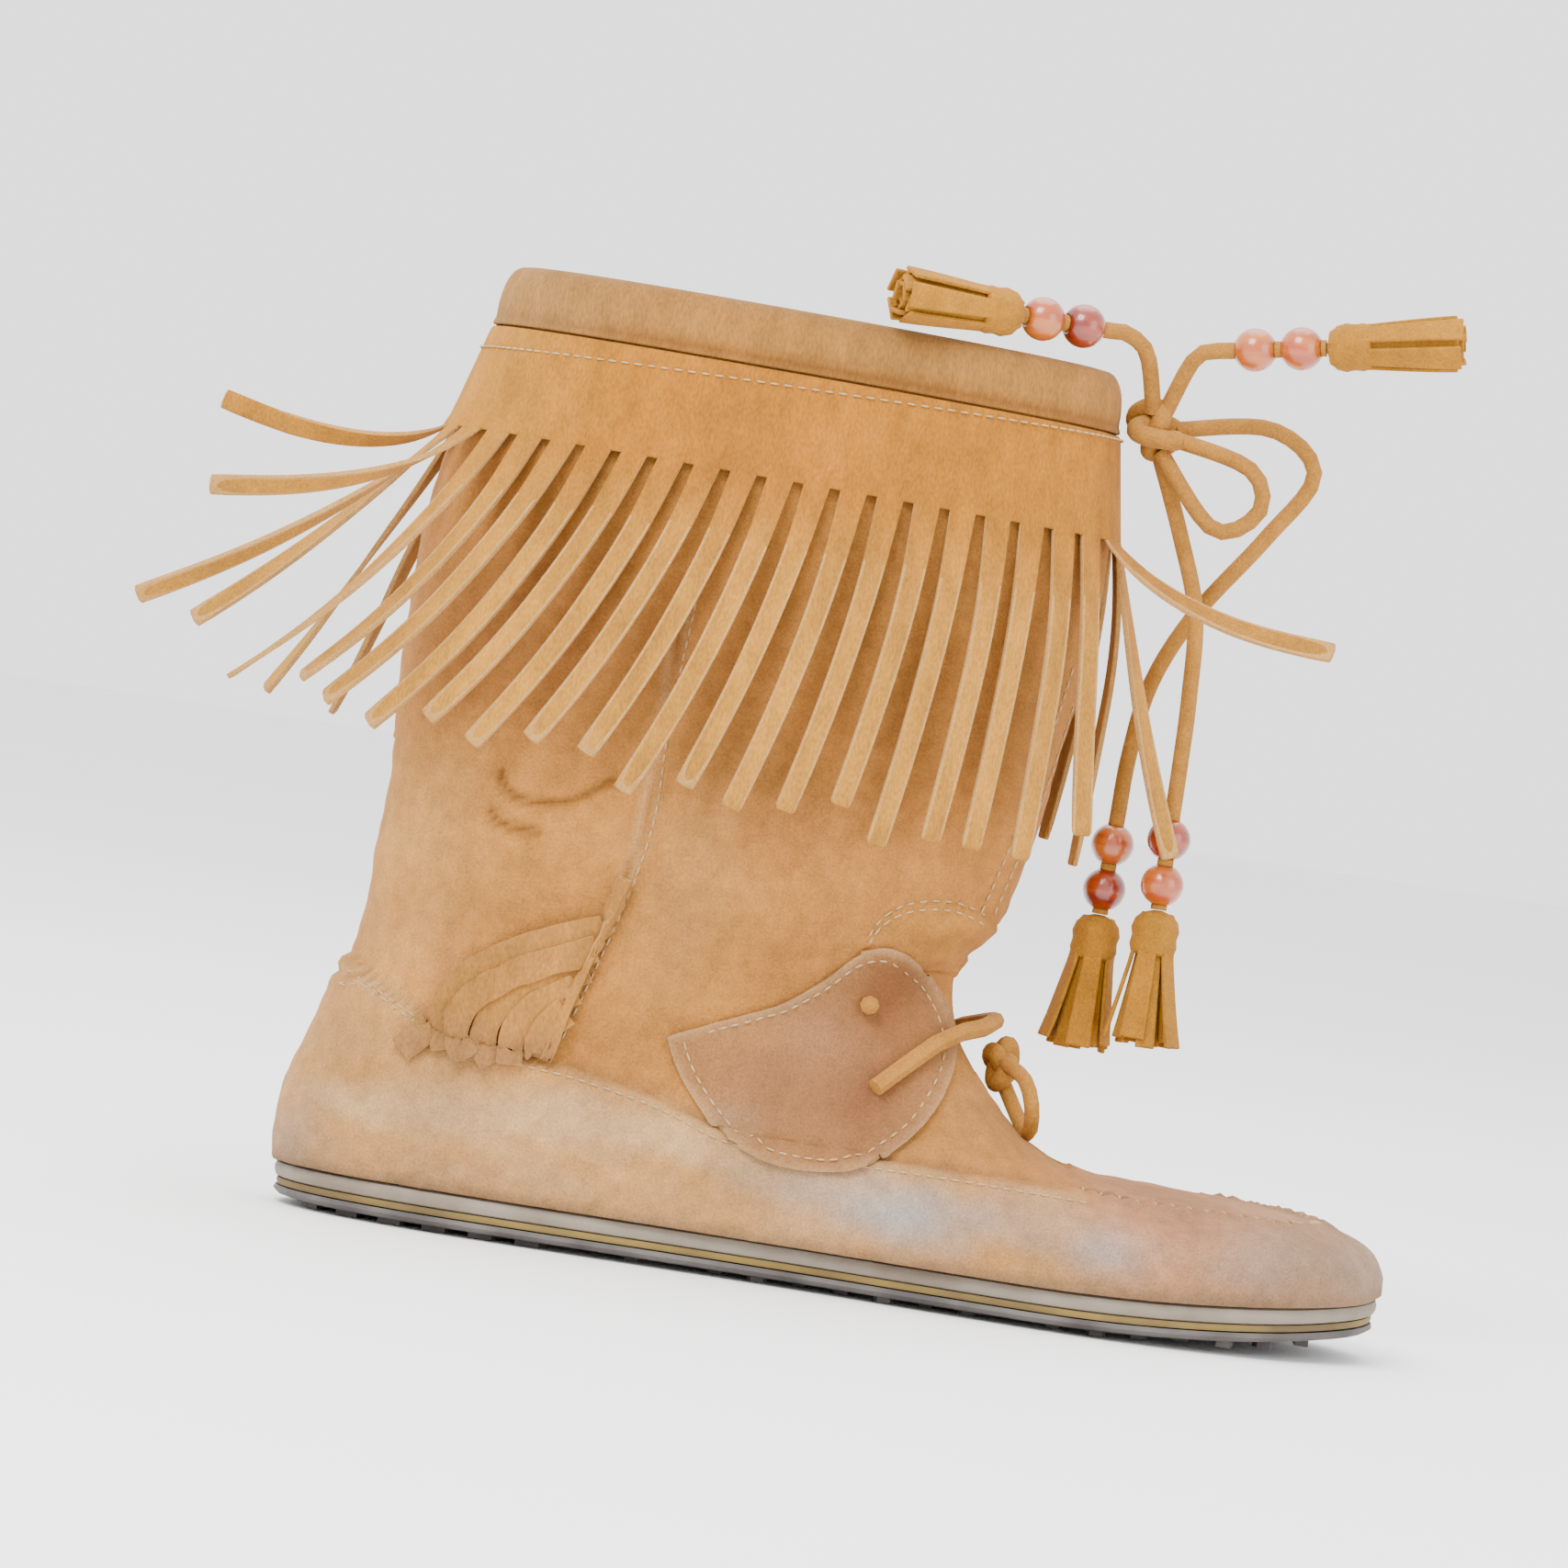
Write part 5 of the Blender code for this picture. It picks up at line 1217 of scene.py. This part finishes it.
        bmesh.ops.recalc_face_normals(bm, faces=bm.faces)
        made = as_object(bm, name + "_strips", self.wardrobe.tassel)
        modify(made, "BEVEL", width=0.0003, segments=2, limit_method="ANGLE", angle_limit=math.radians(50))
        made.data.set_sharp_from_angle(angle=math.radians(50))
        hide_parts(name)
        return made

    def lump(self, name: str, node: bpy.types.Object, turns: tuple, thick: float) -> bpy.types.Object:
        """Overhand knot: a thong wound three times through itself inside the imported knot."""
        low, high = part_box(node.name)
        middle = (Vector(low) + Vector(high)) / 2
        half = (Vector(high) - Vector(low)) / 2
        curve = bpy.data.curves.new(name, "CURVE")
        curve.dimensions = "3D"
        curve.bevel_depth = thick / 2
        curve.bevel_resolution = 4
        curve.resolution_u = 1
        spline = curve.splines.new("POLY")
        count = 72
        spline.points.add(count - 1)
        spline.use_cyclic_u = True
        turn = Quaternion(turns[:3], turns[3])
        spots = []
        for k in range(count):
            t = math.tau * k / count
            spot = Vector((math.sin(t) + 2 * math.sin(2 * t), math.cos(t) - 2 * math.cos(2 * t),
                           -1.5 * math.sin(3 * t)))
            spot.rotate(turn)
            spots.append(spot)
        reach = Vector([max(abs(s[a]) for s in spots) for a in range(3)])
        for point, spot in zip(spline.points, spots):
            scaled = Vector([spot[a] / reach[a] * (half[a] - thick * 0.48) for a in range(3)])
            point.co = (*(middle + scaled), 1.0)
        curve.materials.append(self.wardrobe.thong)
        made = bpy.data.objects.new(name, curve)
        bpy.context.scene.collection.objects.link(made)
        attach(made, "root")
        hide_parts(node.name)
        return made

    def build(self, nodes: dict) -> None:
        middle = self.place(self.collar_middle)
        collar_knot = self.lump("collar_knot_turns", nodes["collar_knot"], (0.3, 1.0, 0.2, 1.1), 0.0046)
        made, route = self.cord("collar_loop_thong", self.seated(self.loop, nodes["collar_knot"], middle, True),
                                self.thong)
        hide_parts("collar_loop")
        self.declare(made, route, self.thong)
        for name, shares, spread, red in (("rim_thong", self.rim, 0.10, (False, True)),
                                          ("front_thong", self.front, 0.10, (False, False)),
                                          ("long_thong", self.long, 0.55, (True, False)),
                                          ("short_thong", self.short, 0.60, (False, True))):
            points = self.seated(shares, nodes["collar_knot"], middle, False)
            way = (points[-1] - points[-2]).normalized()
            pace = self.bead + 2 * self.gap
            points.append(points[-1] + way * (2 * pace + 0.001))
            made, route = self.cord(name + "_leather", points, self.thong)
            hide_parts(name)
            end = route[-1]
            pieces = [self.suede_tassel(name + "_tassel", end + way * self.gap * 2, way, spread)]
            for k in range(2):
                spot = end - way * (self.bead / 2 + self.gap + 0.0004 + pace * k)
                pieces.append(self.wooden_bead(name + "_bead_" + "ab"[k], spot, way, red[k]))
            self.declare(made, route, self.thong)
        low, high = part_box("ankle_knot")
        ankle_middle = (Vector(low) + Vector(high)) / 2
        ankle_knot = self.lump("ankle_knot_turns", nodes["ankle_knot"], (1.0, 0.2, 0.4, 0.7), 0.0044)
        made, route = self.cord("ankle_loop_thong", self.seated(self.ankle, nodes["ankle_knot"], ankle_middle, True),
                                self.lace * 0.85)
        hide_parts("ankle_loop")
        self.declare(made, route, self.lace * 0.85)
        for node in ("ankle_lace", "lace_nub"):
            nodes[node].material_slots[0].material = self.wardrobe.thong
        LOG.info("knots: %s, %s", collar_knot.name, ankle_knot.name)


@dataclass
class Studio:
    """Camera, pale floor and soft lights."""

    centre: Point3 = (0.0575, 0.0, 0.1115)
    distance: float = 1.60
    width: float = 0.360
    roll: float = 8.5
    lift: float = 1.0

    def camera(self) -> None:
        """Make the camera, rolled so that the toe points a little down as in the picture."""
        data = bpy.data.cameras.new("camera")
        data.sensor_width = 36.0
        data.lens = 36.0 * self.distance / self.width
        made = bpy.data.objects.new("camera", data)
        bpy.context.scene.collection.objects.link(made)
        rise = math.radians(self.lift)
        back = Vector((0.0, -math.cos(rise), math.sin(rise)))
        made.location = Vector(self.centre) + back * self.distance
        look = (-back).to_track_quat("-Z", "Y") @ Quaternion((0.0, 0.0, 1.0), math.radians(self.roll))
        made.rotation_euler = look.to_euler()
        data.clip_start, data.clip_end = 0.05, 30.0
        bpy.context.scene.camera = made

    def floor(self) -> None:
        """Make the pale floor."""
        bm = bmesh.new()
        bmesh.ops.create_grid(bm, x_segments=8, y_segments=8, size=6.0)
        mesh = bpy.data.meshes.new("floor")
        bm.to_mesh(mesh)
        bm.free()
        mesh.materials.append(Smooth("floor_paint", (0.95, 0.95, 0.95), (0.93, 0.93, 0.93), rough=0.9, scale=3.0,
                                     bump=0.02).make())
        made = bpy.data.objects.new("floor", mesh)
        bpy.context.scene.collection.objects.link(made)
        made.location = (0.0, 0.0, -0.0002)

    def lights(self) -> None:
        """Make the soft lights and the bright surround."""
        world = bpy.data.worlds.new("surround")
        bpy.context.scene.world = world
        world.use_nodes = True
        world.node_tree.nodes["Background"].inputs["Color"].default_value = (1.0, 1.0, 1.0, 1.0)
        world.node_tree.nodes["Background"].inputs["Strength"].default_value = 2.15
        for name, place, size, power in (("key", (-0.5, -1.1, 1.3), 0.8, 40.0), ("fill", (1.3, -1.0, 0.5), 1.0, 11.0),
                                         ("top", (0.1, 0.4, 1.5), 1.2, 16.0)):
            data = bpy.data.lights.new(name, "AREA")
            data.size = size
            data.energy = power
            made = bpy.data.objects.new(name, data)
            bpy.context.scene.collection.objects.link(made)
            made.location = place
            aim = Vector(self.centre) - Vector(place)
            made.rotation_euler = aim.to_track_quat("-Z", "Y").to_euler()


def stitch_rows(upper: Upper, wardrobe: Wardrobe) -> None:
    """Lay the boot's rows of stitches."""
    rows = Stitching(wardrobe)
    for side in (Side.OUTER, Side.INNER):
        edge = np.array(list(FLAP_EDGE))
        middle = edge.mean(axis=0)
        inner = middle + (edge - middle) * 0.90
        rows.run(upper.land_line(inner[:16], side, 0.0018, rows.pitch))
        rows.run(upper.land_line(inner[15:], side, 0.0017, rows.pitch))
        tab = np.array(TAB_EDGE)
        rows.run(upper.land_line(tab - np.array([0.0, 0.0016]), side, 0.0002, rows.pitch))
        rows.run(upper.land_line(tab + np.array([0.0, 0.0004]), side, 0.0002, rows.pitch))
        for shift in (0.0016, 0.0046):
            rows.run(upper.land_line([(0.1232 - shift, 0.1480), (0.1180 - shift, 0.1180), (0.1106 - shift, 0.0890)],
                                     side, 0.0002, rows.pitch))
        seam = np.array(SIDE_SEAM)
        rows.run(upper.land_line(seam + np.array([0.0020, 0.0]), side, 0.0002, rows.pitch))
        heel = np.array(HEEL_SEAM)
        rows.run(upper.land_line(heel - np.array([0.0, 0.0018]), side, 0.0002, rows.pitch))
        rand = np.array(RAND_SEAM)[1:]
        rows.run(upper.land_line(rand - np.array([0.0, 0.0018]), side, 0.0002, rows.pitch))
    rows.finish("seam_stitches")
    collar = Stitching(wardrobe)
    count = 150
    angles = math.tau * np.arange(count + 1) / count
    last_row = len(LAST.rows) - 1
    ring = LAST.skin(np.full(count + 1, last_row - 1.06), angles)
    centre = ring[:-1].mean(axis=0)
    points = []
    for spot in ring:
        way = Vector(((spot[0] - centre[0]) / 2.4, spot[1] - centre[1], 0.0)).normalized()
        points.append((Vector(spot) + way * 0.0026 + Vector((0.0, 0.0, 0.0006)), way))
    collar.run(points)
    collar.finish("collar_stitches")
    plug = Stitching(wardrobe, length=0.0034, thick=0.0007)
    line = route_points(PLUG_EDGE, 0.0042)
    for a, b in zip(line[:-1], line[1:]):
        spot = (a + b) / 2
        along = (b - a) / np.linalg.norm(b - a)
        across = np.array([-along[1], along[0]])
        ends = []
        for share in (-0.0022, 0.0022):
            place = spot + across * share
            hit, normal, _, _ = upper.skin_tree.ray_cast(Vector((place[0], place[1], 0.2)), Vector((0, 0, -1)))
            ends.append((hit + Vector((0, 0, 0.0001)), normal if normal.z > 0 else -normal))
        plug.run(ends)
    plug.finish("plug_stitches")


def main() -> None:
    """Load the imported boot, dress it and set the studio."""
    logging.basicConfig(level=logging.INFO, format="%(message)s")
    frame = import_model()
    studio = Studio()
    studio.camera()
    wardrobe = Wardrobe()
    nodes = frame["nodes"]
    Tie(wardrobe).build(nodes)
    upper = Upper(wardrobe)
    LOG.info("skin: %d faces", len(upper.build_skin().data.polygons))
    upper.build_lining()
    upper.build_flap(Side.OUTER, "flap_outer", "ankle_flap_lateral")
    upper.build_flap(Side.INNER, "flap_inner", "ankle_flap_medial")
    upper.build_side_fringe()
    upper.dress_inside(nodes)
    Collar(wardrobe).build()
    Fringe(wardrobe).build(nodes["fringe"])
    Sole(wardrobe).build(nodes)
    stitch_rows(upper, wardrobe)
    studio.floor()
    studio.lights()


if __name__ == "__main__":
    main()
